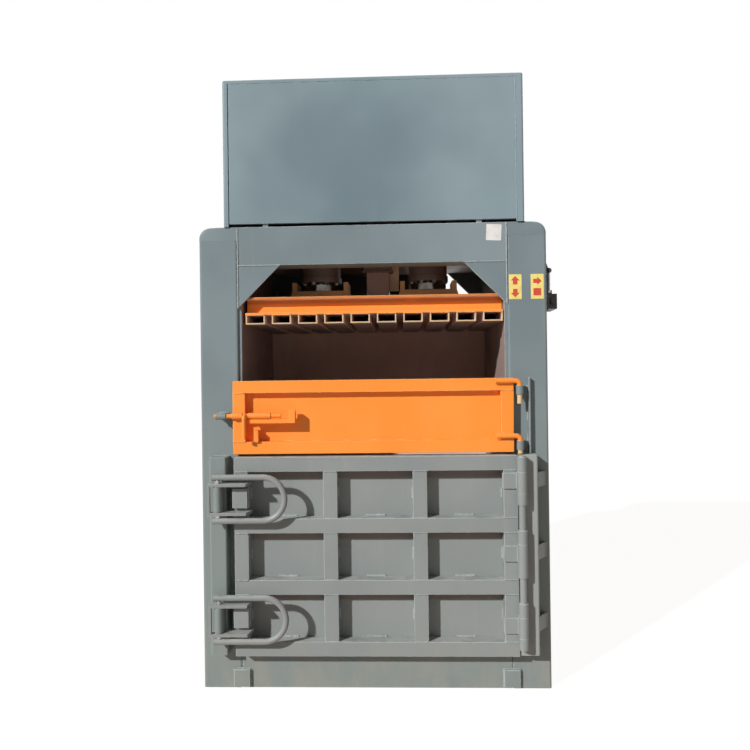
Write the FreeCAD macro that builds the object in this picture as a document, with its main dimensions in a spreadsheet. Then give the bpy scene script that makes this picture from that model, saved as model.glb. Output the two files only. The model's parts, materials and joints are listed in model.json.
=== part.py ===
import FreeCAD, Part
import math
import os
import Sketcher
from types import SimpleNamespace

# Vertical recycling baler: welded steel frame, two hydraulic rams that push a platen down,
# a hinged feed gate above a hinged main door, and a ram at the back that pushes the bale out.
# Millimetres. X to the right, Y to the back, Z up. The origin lies on the floor, midway
# between the columns and midway between the front and back faces of the frame.

os.makedirs("parts", exist_ok=True)
Vector = FreeCAD.Vector
doc = FreeCAD.newDocument("baler")

sizes = {
    # frame
    "clearWidth": 1200.0,
    "columnWidth": 175.0,
    "columnDepth": 120.0,
    "columnWall": 8.0,
    "columnBend": 12.0,
    "columnTopRadius": 50.0,
    "frameDepth": 900.0,
    "frameTop": 2064.0,
    "beamHeight": 173.0,
    "beamWall": 8.0,
    "rearBeamHeight": 100.0,
    "rearDepth": 110.0,
    "gussetReach": 190.0,
    "gussetPlate": 12.0,
    "wallPlate": 12.0,
    "backPlate": 10.0,
    "backWindow": 174.0,
    "ribHeight": 100.0,
    "ribDepth": 80.0,
    "ribPlate": 8.0,
    "ribFirst": 190.0,
    "ribTopGap": 20.0,
    "ribCount": 5.0,
    "skinPlate": 10.0,
    "skinRise": 91.0,
    "skinFoot": 40.0,
    # base and floor
    "baseHeight": 109.0,
    "baseDepth": 80.0,
    "basePlate": 8.0,
    "floorPlate": 12.0,
    "sillRise": 21.0,
    "bearerCount": 5.0,
    "jointPlateWidth": 72.0,
    "jointPlateHeight": 78.0,
    "jointPlateDepth": 16.0,
    # channels under the platen and on the floor, with strap slots between them
    "channelWidth": 87.0,
    "channelHeight": 42.0,
    "channelWall": 6.0,
    "channelEdge": 1.7,
    "channelCount": 10.0,
    # platen
    "platenGapLeft": 16.0,
    "platenGapRight": 4.0,
    "platenDrop": 141.0,
    "platenHeight": 80.0,
    "platenPlate": 10.0,
    "platenGapFront": 15.0,
    "platenGapBack": 18.0,
    "platenFlange": 45.0,
    "platenWeb": 8.0,
    "platenRibs": 6.0,
    # rams
    "ramSpacing": 530.0,
    "ramSetBack": 390.0,
    "rodRadius": 55.0,
    "barrelRadius": 95.0,
    "boreRadius": 80.0,
    "ramFit": 0.05,
    "holeFit": 0.5,
    "barrelRise": 740.0,
    "capThickness": 30.0,
    "pistonLength": 60.0,
    "pistonTopGap": 10.0,
    "glandDrop": 105.0,
    "glandFlange": 30.0,
    "glandSpigot": 55.0,
    "glandRadius": 100.0,
    "rodFlangeRadius": 90.0,
    "rodFlangeThickness": 30.0,
    "deckDrop": 109.0,
    "deckPlate": 20.0,
    "deckBeamWidth": 90.0,
    "deckFlangeRadius": 135.0,
    "deckFlangeThickness": 28.0,
    "yokeHeight": 59.0,
    "yokeWidth": 276.0,
    "yokeDepth": 160.0,
    "yokeEar": 23.0,
    "yokeEarHeight": 42.0,
    "yokeSlope": 18.0,
    # guide post
    "postX": 18.0,
    "postWidth": 110.0,
    "postWall": 8.0,
    "postTopGap": 25.0,
    "postGap": 1.0,
    "postStrip": 48.0,
    "postStripDepth": 10.0,
    "postStripClear": 2.0,
    "collarDrop": 58.0,
    "collarLength": 93.0,
    "collarWall": 12.0,
    "collarLip": 8.0,
    # shroud over the rams
    "shroudLapLeft": 60.0,
    "shroudLapRight": 80.0,
    "shroudProud": 8.0,
    "shroudBackStep": 120.0,
    "shroudTopGap": 8.0,
    "shroudSheet": 3.0,
    "shroudBend": 10.0,
    "hoodEdgeLeft": 23.0,
    "hoodEdgeRight": 34.0,
    "hoodEdgeTop": 17.0,
    "hoodGap": 4.0,
    "hoodRise": 13.0,
    "hoodLip": 22.0,
    # door posts on the front of the columns
    "postFront": 75.0,
    "doorPostOver": 1.0,
    "doorPostStep": 5.0,
    "doorPostWall": 8.0,
    "latchPostWidth": 75.0,
    "latchPostInset": 46.0,
    "hingePostInset": 32.0,
    "hingePostWidth": 80.0,
    "bracePlate": 8.0,
    "braceHeight": 64.0,
    # main door
    "doorLapLeft": 12.0,
    "doorLapRight": 25.0,
    "doorClear": 5.0,
    "doorHeight": 871.0,
    "doorBarWidth": 62.0,
    "doorRailHeight": 64.0,
    "doorBarWall": 6.0,
    "doorPlate": 8.0,
    "doorGap": 2.0,
    "doorStep": 3.0,
    # main door hinge
    "hingeOffset": 6.0,
    "hingeReach": 30.0,
    "hingePinRadius": 15.0,
    "knuckleRadius": 21.0,
    "hingeFit": 0.08,
    "knuckleGap": 0.5,
    "strapHeight": 68.0,
    "strapPlate": 10.0,
    "strapReach": 78.0,
    "strapClear": 3.0,
    # latches
    "latchInset": 175.0,
    "latchPinOffset": 27.0,
    "latchPinReach": 45.0,
    "latchPinRadius": 11.0,
    "latchFit": 0.1,
    "clawPlate": 12.0,
    "clawHalf": 68.0,
    "clawFront": 20.0,
    "clawBack": 42.0,
    "clawNose": 22.0,
    "clawReach": 138.0,
    "clawTail": 39.0,
    "clawTip": 12.0,
    "keeperWidth": 65.0,
    "keeperHeight": 85.0,
    "keeperDepth": 27.0,
    "clawSide": 9.0,
    "clawSideInset": 2.0,
    "latchTube": 19.0,
    "latchTubeGap": 2.0,
    "latchWeb": 10.0,
    "bailRadius": 94.0,
    "bailBar": 13.0,
    "bailStraight": 197.0,
    "bailTail": 22.0,
    "bailPinRadius": 6.0,
    # feed gate
    "gateLapLeft": 20.0,
    "gateLapRight": 15.0,
    "gateClear": 11.0,
    "gateHeight": 324.0,
    "gateBar": 54.0,
    "gateDepth": 40.0,
    "gateGap": 3.0,
    "gateBarWall": 4.0,
    "gatePlate": 5.0,
    "gateRodRadius": 11.0,
    "gatePinOffset": 26.0,
    "gateRodTopInset": 13.0,
    "gateRodFootInset": 71.0,
    "gateRodLength": 100.0,
    "gateRodLowLength": 76.0,
    "gateRodBend": 18.0,
    "gateRodReach": 104.0,
    "sleeveRadius": 16.0,
    "sleeveFit": 0.1,
    "sleeveHeight": 40.0,
    "sleeveLug": 14.0,
    "stopOffset": 43.0,
    "stopPlate": 8.0,
    "stopReach": 28.0,
    # gate bolt
    "boltRise": 170.0,
    "boltRadius": 10.0,
    "boltPast": 8.0,
    "boltLength": 296.0,
    "boltSleeve": 15.0,
    "boltFit": 0.1,
    "boltArmOffset": 58.0,
    "boltArmRadius": 9.0,
    "boltArmReach": 28.0,
    "boltArmDrop": 101.0,
    "boltArmBend": 14.0,
    "boltCollarOffset": 73.0,
    "boltCollarLength": 99.0,
    "collarRadius": 14.0,
    "receiverOffset": 91.0,
    "receiverLength": 44.0,
    "carrierOffset": 280.0,
    "carrierEnd": 27.0,
    "carrierLeg": 17.0,
    "carrierPlate": 4.0,
    "carrierGap": 1.5,
    "carrierEndRise": 25.0,
    "pegOffset": 106.0,
    "pegWidth": 17.0,
    "pegHeight": 51.0,
    # power unit behind the frame
    "tankInset": 28.0,
    "tankWidth": 745.0,
    "tankGap": 12.0,
    "tankDepth": 340.0,
    "tankHeight": 505.0,
    "tankDrop": 79.0,
    "tankRadius": 20.0,
    "tankLid": 8.0,
    "tankLidEdge": 12.0,
    "armWidth": 50.0,
    "armHeight": 60.0,
    "armPlate": 6.0,
    "motorInset": 220.0,
    "motorRadius": 100.0,
    "motorLength": 300.0,
    "motorFlange": 125.0,
    "motorFlangePlate": 16.0,
    "bellHeight": 90.0,
    "bellRadius": 70.0,
    "motorFins": 24.0,
    "finHeight": 9.0,
    "finPlate": 3.0,
    "fanHeight": 60.0,
    # hand valve on the right column
    "valveSetBack": 240.0,
    "valveLength": 160.0,
    "valveWidth": 70.0,
    "valveDrop": 374.0,
    "valveHeight": 70.0,
    "valvePlate": 8.0,
    "leverRise": 15.0,
    "leverFirst": 17.0,
    "leverPitch": 34.0,
    "leverPin": 4.0,
    "leverRadius": 5.0,
    "leverLength": 105.0,
    "leverKnob": 13.0,
    "leverFit": 0.06,
    "leverEye": 10.0,
    "leverThick": 12.0,
    "earPlate": 4.0,
    "earGap": 0.5,
    # pipes
    "pipeRadius": 10.0,
    "pipePitch": 32.0,
    "pipeOver": 45.0,
    "pipeStraight": 140.0,
    "junctionOffset": 215.0,
    "junctionWidth": 60.0,
    "pipeBend": 45.0,
    # ram that pushes the bale out
    "ejectRise": 304.0,
    "ejectRibGap": 50.0,
    "ejectWidth": 520.0,
    "ejectHeight": 250.0,
    "ejectPlate": 20.0,
    "ejectRod": 25.0,
    "ejectBore": 40.0,
    "ejectBarrel": 47.5,
    "ejectLength": 560.0,
    "ejectStroke": 450.0,
    "ejectFlange": 85.0,
    "ejectFlangePlate": 16.0,
    "ejectCap": 24.0,
}

sheet = doc.addObject("Spreadsheet::Sheet", "Sizes")
for row, (alias, value) in enumerate(sizes.items(), start=1):
    sheet.set(f"A{row}", alias)
    sheet.set(f"B{row}", str(value))
    sheet.setAlias(f"B{row}", alias)
doc.recompute()


class Size:
    """A length with its value and the spreadsheet expression that it comes from."""

    def __init__(self, value, text):
        self.value = value
        self.text = text

    def __add__(self, other):
        other = asSize(other)
        return Size(self.value + other.value, f"({self.text} + {other.text})")

    def __sub__(self, other):
        other = asSize(other)
        return Size(self.value - other.value, f"({self.text} - {other.text})")

    def __mul__(self, other):
        other = asSize(other)
        return Size(self.value * other.value, f"({self.text} * {other.text})")

    def __truediv__(self, other):
        other = asSize(other)
        return Size(self.value / other.value, f"({self.text} / {other.text})")

    def __radd__(self, other):
        return asSize(other) + self

    def __rsub__(self, other):
        return asSize(other) - self

    def __rmul__(self, other):
        return asSize(other) * self

    def __neg__(self):
        return Size(-self.value, f"(-{self.text})")


def asSize(value):
    return value if isinstance(value, Size) else Size(float(value), f"({float(value)})")


s = SimpleNamespace(**{alias: Size(value, f"Sizes.{alias}") for alias, value in sizes.items()})
nodes = {}


def bind(item, prop, value):
    item.setExpression(prop, asSize(value).text)


def place(item, x, y, z, turn=None):
    """Put an item at a bound position, turned by an optional (axis, degrees)."""
    spot = [asSize(v) for v in (x, y, z)]
    rotation = FreeCAD.Rotation(turn[0], turn[1]) if turn else FreeCAD.Rotation()
    item.Placement = FreeCAD.Placement(Vector(*[v.value for v in spot]), rotation)
    for axis, value in zip("xyz", spot):
        bind(item, f"Placement.Base.{axis}", value)
    return item


def block(name, xs, ys, zs):
    """A box between two bound limits on each axis."""
    item = doc.addObject("Part::Box", name)
    for prop, (low, high) in zip(("Length", "Width", "Height"), (xs, ys, zs)):
        bind(item, prop, asSize(high) - asSize(low))
    return place(item, xs[0], ys[0], zs[0])


turnTo = {"X": (Vector(0, 1, 0), 90), "Y": (Vector(1, 0, 0), -90), "Z": None}


def drum(name, radius, length, axis, x, y, z):
    """A cylinder that starts at x, y, z and runs along an axis."""
    item = doc.addObject("Part::Cylinder", name)
    bind(item, "Radius", radius)
    bind(item, "Height", length)
    return place(item, x, y, z, turnTo[axis])


def fuse(name, *items):
    item = doc.addObject("Part::MultiFuse", name)
    item.Shapes = list(items)
    item.Refine = True
    return item


def cut(name, base, *tools):
    item = doc.addObject("Part::Cut", name)
    item.Base = base
    item.Tool = tools[0] if len(tools) == 1 else group(name + "Tools", tools)
    return item


def group(name, items):
    item = doc.addObject("Part::Compound", name)
    item.Links = list(items)
    return item


def tube(name, outer, inner, length, axis, x, y, z):
    return cut(name, drum(name + "Outer", outer, length, axis, x, y, z),
               drum(name + "Bore", inner, length, axis, x, y, z))


def newBody(name):
    return doc.addObject("PartDesign::Body", name)


def newSketch(body, name, plane, offset=0):
    """A sketch on one of the body's origin planes, moved along that plane's normal."""
    sketch = body.newObject("Sketcher::SketchObject", name)
    origin = [f for f in body.Origin.OriginFeatures if f.Role == f"{plane}_Plane"][0]
    sketch.AttachmentSupport = [(origin, "")]
    sketch.MapMode = "FlatFace"
    bind(sketch, "AttachmentOffset.Base.z", offset)
    return sketch


def pin(sketch, geometry, point, x, y):
    """Bind one point of a sketch to a pair of sizes, measured from the sketch's origin."""
    for kind, value in (("DistanceX", x), ("DistanceY", y)):
        value = asSize(value)
        index = sketch.addConstraint(
            Sketcher.Constraint(kind, -1, 1, geometry, point, value.value))
        sketch.setExpression(f"Constraints[{index}]", value.text)


def outline(sketch, points):
    """A closed polygon whose corners are bound to sizes."""
    spots = [Vector(asSize(x).value, asSize(y).value, 0) for x, y in points]
    first = sketch.GeometryCount
    count = len(points)
    for i in range(count):
        sketch.addGeometry(Part.LineSegment(spots[i], spots[(i + 1) % count]), False)
    for i in range(count):
        sketch.addConstraint(Sketcher.Constraint(
            "Coincident", first + i, 2, first + (i + 1) % count, 1))
        pin(sketch, first + i, 1, *points[i])


def circle(sketch, x, y, radius):
    radius = asSize(radius)
    spot = Vector(asSize(x).value, asSize(y).value, 0)
    index = sketch.addGeometry(Part.Circle(spot, Vector(0, 0, 1), radius.value), False)
    pin(sketch, index, 3, x, y)
    bound = sketch.addConstraint(Sketcher.Constraint("Radius", index, radius.value))
    sketch.setExpression(f"Constraints[{bound}]", radius.text)


def hook(sketch, first, start, middle, finish, last):
    """A line, an arc that turns clockwise and a second line, as one bound path."""
    spots = [Vector(asSize(x).value, asSize(y).value, 0)
             for x, y in (first, start, middle, finish, last)]
    sketch.addGeometry(Part.LineSegment(spots[0], spots[1]), False)
    sketch.addGeometry(Part.Arc(spots[1], spots[2], spots[3]), False)
    sketch.addGeometry(Part.LineSegment(spots[3], spots[4]), False)
    sketch.addConstraint(Sketcher.Constraint("Coincident", 0, 2, 1, 2))
    sketch.addConstraint(Sketcher.Constraint("Coincident", 1, 1, 2, 1))
    pin(sketch, 0, 1, *first)
    pin(sketch, 0, 2, *start)
    pin(sketch, 2, 1, *finish)
    pin(sketch, 2, 2, *last)
    centre = sketch.addConstraint(Sketcher.Constraint("DistanceX", -1, 1, 1, 3, spots[1].x))
    sketch.setExpression(f"Constraints[{centre}]", asSize(start[0]).text)


# the world axis along each sketch plane's normal, and its sign
normalSign = {"XY": 1, "YZ": 1, "XZ": -1}


def pad(body, sketch, length, forward=True):
    feature = body.newObject("PartDesign::Pad", sketch.Name + "Pad")
    feature.Profile = sketch
    bind(feature, "Length", length)
    feature.Reversed = not forward
    return feature


def prism(name, plane, points, start, end):
    """A padded outline between two bound positions along the plane's world axis."""
    body = newBody(name)
    sign = normalSign[plane]
    sketch = newSketch(body, name + "Outline", plane, sign * asSize(start))
    outline(sketch, points)
    pad(body, sketch, asSize(end) - asSize(start), forward=sign > 0)
    return body


def hollow(body, name, plane, points, start, depth, towards):
    """A pocket from a bound plane, cut along the world axis in the given direction."""
    sign = normalSign[plane]
    sketch = newSketch(body, name, plane, sign * asSize(start))
    outline(sketch, points)
    feature = body.newObject("PartDesign::Pocket", name + "Pocket")
    feature.Profile = sketch
    bind(feature, "Length", depth)
    # a pocket runs against its sketch's normal unless it is reversed
    feature.Reversed = (towards * sign) > 0
    doc.recompute()
    return feature


def rectangle(x0, x1, y0, y1):
    return [(x0, y0), (x1, y0), (x1, y1), (x0, y1)]


def roundEdges(body, radius, wanted):
    """Fillet the edges of a body's last feature whose middle point is wanted."""
    doc.recompute()
    last = body.Tip
    names = []
    for number, edge in enumerate(last.Shape.Edges, start=1):
        if wanted(edge, edge.valueAt((edge.FirstParameter + edge.LastParameter) / 2)):
            names.append(f"Edge{number}")
    feature = body.newObject("PartDesign::Fillet", body.Name + f"Fillet{last.Name}")
    feature.Base = (last, names)
    bind(feature, "Radius", radius)
    return feature


def turned(name, points, x, y, z=0, turn=None):
    """A revolved profile, given as (radius, height) pairs about the body's own axis."""
    body = newBody(name)
    sketch = newSketch(body, name + "Profile", "XZ")
    outline(sketch, points)
    feature = body.newObject("PartDesign::Revolution", name + "Turn")
    feature.Profile = sketch
    feature.ReferenceAxis = (sketch, ["V_Axis"])
    feature.Angle = 360
    return place(body, x, y, z, turn)


def node(label, item):
    """Register a finished piece under the name of its file."""
    nodes[label] = item
    return item


def isAlong(edge, axis):
    direction = edge.tangentAt(edge.FirstParameter)
    return abs(direction.dot(axis)) > 0.999 and edge.Curve.TypeId == "Part::GeomLine"


xAxis, yAxis, zAxis = Vector(1, 0, 0), Vector(0, 1, 0), Vector(0, 0, 1)

# --- positions that many pieces share
half = s.clearWidth / 2
outer = half + s.columnWidth
frontY = -s.frameDepth / 2
rearY = s.frameDepth / 2
columnBack = frontY + s.columnDepth
beamFoot = s.frameTop - s.beamHeight
rearBeamFoot = s.frameTop - s.rearBeamHeight
wallInner = half - s.wallPlate
floorTop = s.baseHeight + s.floorPlate
doorPostFace = frontY - s.postFront

# heights, from the floor and from the frame's top
s.doorFoot = floorTop + s.channelHeight + s.doorClear
s.doorTop = s.doorFoot + s.doorHeight
s.doorPostFoot = s.doorFoot + s.doorPostStep
s.doorPostTop = s.doorTop + s.doorPostOver
s.latchLow = s.doorFoot + s.latchInset
s.latchHigh = s.doorTop - s.latchInset
s.gateFoot = s.doorTop + s.gateClear
s.gateTop = s.gateFoot + s.gateHeight
s.gateRodHigh = s.gateTop - s.gateRodTopInset
s.gateRodLow = s.gateFoot + s.gateRodFootInset
s.boltZ = s.gateFoot + s.boltRise
s.carrierEndTop = s.boltZ + s.carrierEndRise
s.skinTop = s.doorTop + s.skinRise
s.sillTop = floorTop + s.sillRise
s.ejectZ = floorTop + s.ejectRise
s.platenBottom = beamFoot - s.platenDrop - s.platenHeight
s.deckBottom = s.frameTop - s.deckDrop
s.glandBottom = s.deckBottom - s.glandDrop
s.collarBottom = s.deckBottom - s.collarDrop
s.collarTop = s.collarBottom + s.collarLength
s.barrelTop = s.deckBottom + s.deckPlate + s.barrelRise
s.postTop = s.barrelTop - s.postTopGap
s.shroudTop = s.barrelTop + s.shroudTopGap
s.hoodTop = s.shroudTop - s.hoodEdgeTop
s.hoodFoot = s.frameTop + s.hoodRise
s.backWallTop = rearBeamFoot - s.backWindow
s.ribSecond = s.ejectZ + s.ejectFlange + s.ejectRibGap
s.ribPitch = (s.backWallTop - s.ribTopGap - s.ribHeight - s.ribSecond) / (s.ribCount - 2)
s.tankTop = s.frameTop - s.tankDrop
s.tankFoot = s.tankTop - s.tankHeight
s.valveFoot = s.frameTop - s.valveDrop
s.valveTop = s.valveFoot + s.valveHeight
s.leverHigh = s.valveTop + s.leverRise

# places across the width
s.platenLeft = s.platenGapLeft - wallInner
s.platenRight = wallInner - s.platenGapRight
s.platenWidth = s.platenRight - s.platenLeft
s.channelPitch = (s.platenWidth - s.channelWidth - 2 * s.channelEdge) / (s.channelCount - 1)
s.shroudLeft = -half - s.shroudLapLeft
s.shroudRight = half + s.shroudLapRight
s.hoodLeft = s.shroudLeft + s.hoodEdgeLeft
s.hoodRight = s.shroudRight - s.hoodEdgeRight
s.latchPostRight = -half - s.latchPostInset
s.latchPostLeft = s.latchPostRight - s.latchPostWidth
s.hingePostLeft = half + s.hingePostInset
s.hingePostRight = s.hingePostLeft + s.hingePostWidth
s.doorLeft = -half - s.doorLapLeft
s.doorRight = half + s.doorLapRight
s.hingeX = s.hingePostLeft + s.hingeOffset
s.latchPinX = s.latchPostRight - s.latchPinOffset
s.gateLeft = -half - s.gateLapLeft
s.gateRight = half + s.gateLapRight
s.gatePinX = s.gateRight + s.gatePinOffset
s.stopX = s.gatePinX + s.stopOffset
s.receiverLeft = -half - s.receiverOffset
s.receiverRight = s.receiverLeft + s.receiverLength
s.boltTip = s.receiverLeft - s.boltPast
s.boltEnd = s.boltTip + s.boltLength
s.boltArmX = s.gateLeft + s.boltArmOffset
s.collarLeft = s.gateLeft + s.boltCollarOffset
s.collarRight = s.collarLeft + s.boltCollarLength
s.carrierRight = s.gateLeft + s.carrierOffset
s.pegX = s.gateLeft + s.pegOffset
s.tankLeft = s.tankInset - wallInner
s.tankRight = s.tankLeft + s.tankWidth
s.motorX = s.tankLeft + s.motorInset
s.junctionLeft = s.ramSpacing / 2 + s.junctionOffset

# places from front to back
s.chamberBack = rearY - s.rearDepth - s.backPlate
s.platenFront = frontY + s.platenGapFront
s.platenBack = s.chamberBack - s.platenGapBack
s.ramY = frontY + s.ramSetBack
s.shroudFront = frontY - s.shroudProud
s.shroudBack = rearY - s.shroudBackStep
s.motorY = rearY + s.tankGap + s.tankDepth / 2
s.valveY = frontY + s.valveSetBack
channelSpan = s.channelPitch * (s.channelCount - 1)


def column(label, side, yLow, yHigh):
    """A folded box column with a closed, rounded top; side is 1 on the right, -1 on the left."""
    body = newBody(label + "Body")
    sketch = newSketch(body, label + "Plan", "XY")
    outline(sketch, rectangle(side * half, side * outer, yLow, yHigh))
    pad(body, sketch, s.frameTop)
    roundEdges(body, s.columnBend, lambda edge, mid: isAlong(edge, zAxis))
    roundEdges(body, s.columnTopRadius,
               lambda edge, mid: isAlong(edge, yAxis)
               and abs(mid.z - s.frameTop.value) < 0.1 and mid.x * side > outer.value - 1)
    wall = s.columnWall
    hollow(body, label + "Inside", "XY",
           rectangle(side * (half + wall), side * (outer - wall), yLow + wall, yHigh - wall),
           0, s.frameTop - s.columnTopRadius - wall, 1)
    return body


node("left_column", column("leftColumn", -1, frontY, columnBack))
node("right_column", column("rightColumn", 1, frontY, columnBack))
node("rear_columns", group("rearColumns", [
    column(name, side, rearY - s.rearDepth, rearY)
    for side, name in ((-1, "rearLeftColumn"), (1, "rearRightColumn"))]))


def boxBeam(label, xs, ys, zs, wall):
    """A beam of box section, open at its two ends against the columns."""
    shell = block(label + "Outer", xs, ys, zs)
    core = block(label + "Core", xs, (ys[0] + wall, ys[1] - wall), (zs[0] + wall, zs[1] - wall))
    return cut(label, shell, core)


node("head_beam", boxBeam("headBeam", (-half, half), (frontY, columnBack),
                          (beamFoot, s.frameTop), s.beamWall))
node("rear_beam", boxBeam("rearBeam", (-wallInner, wallInner), (rearY - s.rearDepth, rearY),
                          (rearBeamFoot, s.frameTop), s.beamWall))


def gusset(name, side, edge, top, yLow):
    """A triangular plate in the corner under a beam."""
    corner = side * edge
    inner = side * (edge - s.gussetReach)
    return prism(name, "XZ", [(corner, top), (corner, top - s.gussetReach), (inner, top)],
                 yLow, yLow + s.gussetPlate)


gussets = []
for side, word in ((-1, "Left"), (1, "Right")):
    gussets.append(gusset(f"frontGusset{word}", side, half, beamFoot, frontY))
    gussets.append(gusset(f"rearGusset{word}", side, wallInner, rearBeamFoot,
                          rearY - s.gussetPlate))
node("corner_gussets", group("cornerGussets", gussets))

# --- chamber walls
wallFront = frontY + s.gussetPlate
baseBack = frontY + s.baseDepth
for side, label in ((-1, "left_side_wall"), (1, "right_side_wall")):
    profile = [
        (wallFront, s.baseHeight),
        (wallFront, beamFoot),
        (columnBack, beamFoot),
        (columnBack, s.frameTop),
        (rearY, s.frameTop),
        (rearY, 0),
        (baseBack, 0),
        (baseBack, s.baseHeight),
    ]
    low, high = (-half, -wallInner) if side < 0 else (wallInner, half)
    node(label, prism(label, "YZ", profile, low, high))

ejectHole = drum("ejectRodHole", s.ejectRod + s.holeFit, s.backPlate, "Y",
                 0, s.chamberBack, s.ejectZ)
node("back_wall", cut("backWall", block(
    "backWallPlate", (-wallInner, wallInner), (s.chamberBack, s.chamberBack + s.backPlate),
    (s.baseHeight, s.backWallTop)), ejectHole))


def channelPoints(low, high, near, far, plate):
    """A channel section: low to high across its web, near to far along its flanges."""
    step = plate if far.value > near.value else -plate
    return [(near, low), (far, low), (far, high), (near, high), (near, high - plate),
            (far - step, high - plate), (far - step, low + plate), (near, low + plate)]


sideRibs = []
backRibs = []
backWallRear = s.chamberBack + s.backPlate
# the first two ribs stand below and above the back ram, the rest are spaced evenly
ribFeet = [s.ribFirst]
for i in range(int(s.ribCount.value) - 1):
    ribFeet.append(s.ribSecond + s.ribPitch * i)
for i, foot in enumerate(ribFeet):
    top = foot + s.ribHeight
    deep = top.value < s.skinTop.value
    for side in (-1, 1):
        near = side * half
        far = side * (outer if deep else half + s.ribDepth)
        points = channelPoints(foot, top, near, far, s.ribPlate)
        sideRibs.append(prism(f"sideRib{i}{'L' if side < 0 else 'R'}", "XZ", points,
                              columnBack, rearY - s.rearDepth))
    points = channelPoints(foot, top, backWallRear, backWallRear + s.ribDepth, s.ribPlate)
    backRibs.append(prism(f"backRib{i}", "YZ", points, -wallInner, wallInner))
node("side_wall_ribs", group("sideWallRibs", sideRibs))
node("back_wall_ribs", group("backWallRibs", backRibs))

skins = []
for side, word in ((-1, "Left"), (1, "Right")):
    low, high = (-(outer + s.skinPlate), -outer) if side < 0 else (outer, outer + s.skinPlate)
    skins.append(block(f"skin{word}", (low, high),
                       (columnBack - s.columnWall, rearY - s.rearDepth + s.columnWall),
                       (s.skinFoot, s.skinTop)))
node("lower_side_panels", group("lowerSidePanels", skins))

# --- base and chamber floor
baseFront = boxBeam("baseFront", (-half, half), (frontY, baseBack), (0, s.baseHeight), s.basePlate)
baseRear = boxBeam("baseRear", (-wallInner, wallInner), (rearY - s.baseDepth, rearY),
                   (0, s.baseHeight), s.basePlate)
jointPlates = []
for side, word in ((-1, "Left"), (1, "Right")):
    middle = side * half
    plate = block(f"jointPlate{word}",
                  (middle - s.jointPlateWidth / 2, middle + s.jointPlateWidth / 2),
                  (frontY - s.jointPlateDepth, frontY), (8, s.jointPlateHeight + 8))
    jointPlates.append(plate)
# a sill stands on the front beam, before the floor's channels
sill = block("sill", (-half, half), (frontY, wallFront), (s.baseHeight, s.sillTop))
node("base_beams", group("baseBeams", [
    fuse("baseFrontWelded", baseFront, sill, *jointPlates), baseRear]))

floorSheet = block("floorSheet", (-wallInner, wallInner), (wallFront, s.chamberBack),
                   (s.baseHeight, floorTop))
bearers = []
for i in range(int(s.bearerCount.value)):
    middle = wallInner * (2 * (i + 0.5) - s.bearerCount) / s.bearerCount
    bearers.append(block(f"bearer{i}", (middle - s.basePlate, middle + s.basePlate),
                         (baseBack, rearY - s.baseDepth), (0, s.baseHeight)))
node("chamber_floor", fuse("chamberFloor", floorSheet, *bearers))


def channelMiddle(i):
    return (s.platenLeft + s.platenRight - channelSpan) / 2 + s.channelPitch * i


def strapChannel(name, i, bottom, opensUp, yLow, yHigh):
    """A long U channel; the slots between such channels take the bale straps."""
    low = channelMiddle(i) - s.channelWidth / 2
    high = channelMiddle(i) + s.channelWidth / 2
    top = bottom + s.channelHeight
    wall = s.channelWall
    if opensUp:
        points = [(low, top), (low, bottom), (high, bottom), (high, top), (high - wall, top),
                  (high - wall, bottom + wall), (low + wall, bottom + wall), (low + wall, top)]
    else:
        points = [(low, bottom), (low, top), (high, top), (high, bottom), (high - wall, bottom),
                  (high - wall, top - wall), (low + wall, top - wall), (low + wall, bottom)]
    return prism(name, "XZ", points, yLow, yHigh)


channelNumbers = range(int(s.channelCount.value))
node("floor_channels", group("floorChannels", [
    strapChannel(f"floorChannel{i}", i, floorTop, False, wallFront, s.chamberBack)
    for i in channelNumbers]))

# --- deck that carries the rams, between the side walls
ramX = s.ramSpacing / 2
deckTop = s.deckBottom + s.deckPlate
deckSheet = block("deckSheet", (-wallInner, wallInner), (columnBack, rearY - s.rearDepth),
                  (s.deckBottom, deckTop))
deckBeams = []
for i, side in enumerate((-1, 1)):
    middle = s.ramY + side * (s.deckFlangeRadius + s.deckBeamWidth / 2 + 5)
    deckBeams.append(boxBeam(f"deckBeam{i}", (-wallInner, wallInner),
                             (middle - s.deckBeamWidth / 2, middle + s.deckBeamWidth / 2),
                             (deckTop, s.frameTop), s.beamWall))
ramHoles = [drum(f"ramHole{i}", s.barrelRadius + s.holeFit, s.deckPlate, "Z",
                 side * ramX, s.ramY, s.deckBottom) for i, side in enumerate((-1, 1))]
collarHalf = s.postWidth / 2 + s.postGap + s.collarWall
postHole = block("postHole", (s.postX - collarHalf, s.postX + collarHalf),
                 (s.ramY - collarHalf, s.ramY + collarHalf), (s.deckBottom, deckTop))
stripEnd = s.postX + s.postWidth / 2 + s.postStrip + 2
stripHalf = s.postStripDepth / 2 + s.postGap
stripHole = block("stripHole", (s.postX + collarHalf, stripEnd),
                  (s.ramY - stripHalf, s.ramY + stripHalf), (s.deckBottom, deckTop))
node("ram_deck", fuse("ramDeck", cut("deckCut", deckSheet, *ramHoles, postHole, stripHole),
                      *deckBeams))


def squareRing(name, middle, outside, inside, zs):
    ring = block(name + "Outer", (middle[0] - outside, middle[0] + outside),
                 (middle[1] - outside, middle[1] + outside), zs)
    bore = block(name + "Bore", (middle[0] - inside, middle[0] + inside),
                 (middle[1] - inside, middle[1] + inside), zs)
    return cut(name, ring, bore)


postMiddle = (s.postX, s.ramY)
postBore = s.postWidth / 2 + s.postGap
collarTube = squareRing("collarTube", postMiddle, collarHalf, postBore,
                        (s.collarBottom, s.collarTop))
collarLip = squareRing("collarLip", postMiddle, collarHalf + s.collarLip, postBore,
                       (s.collarBottom, s.collarBottom + s.collarLip))
collarSlot = block("collarSlot", (s.postX + s.postWidth / 2, stripEnd),
                   (s.ramY - stripHalf, s.ramY + stripHalf), (s.collarBottom, s.collarTop))
node("guide_collar", cut("guideCollar", fuse("collarWelded", collarTube, collarLip), collarSlot))

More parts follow.
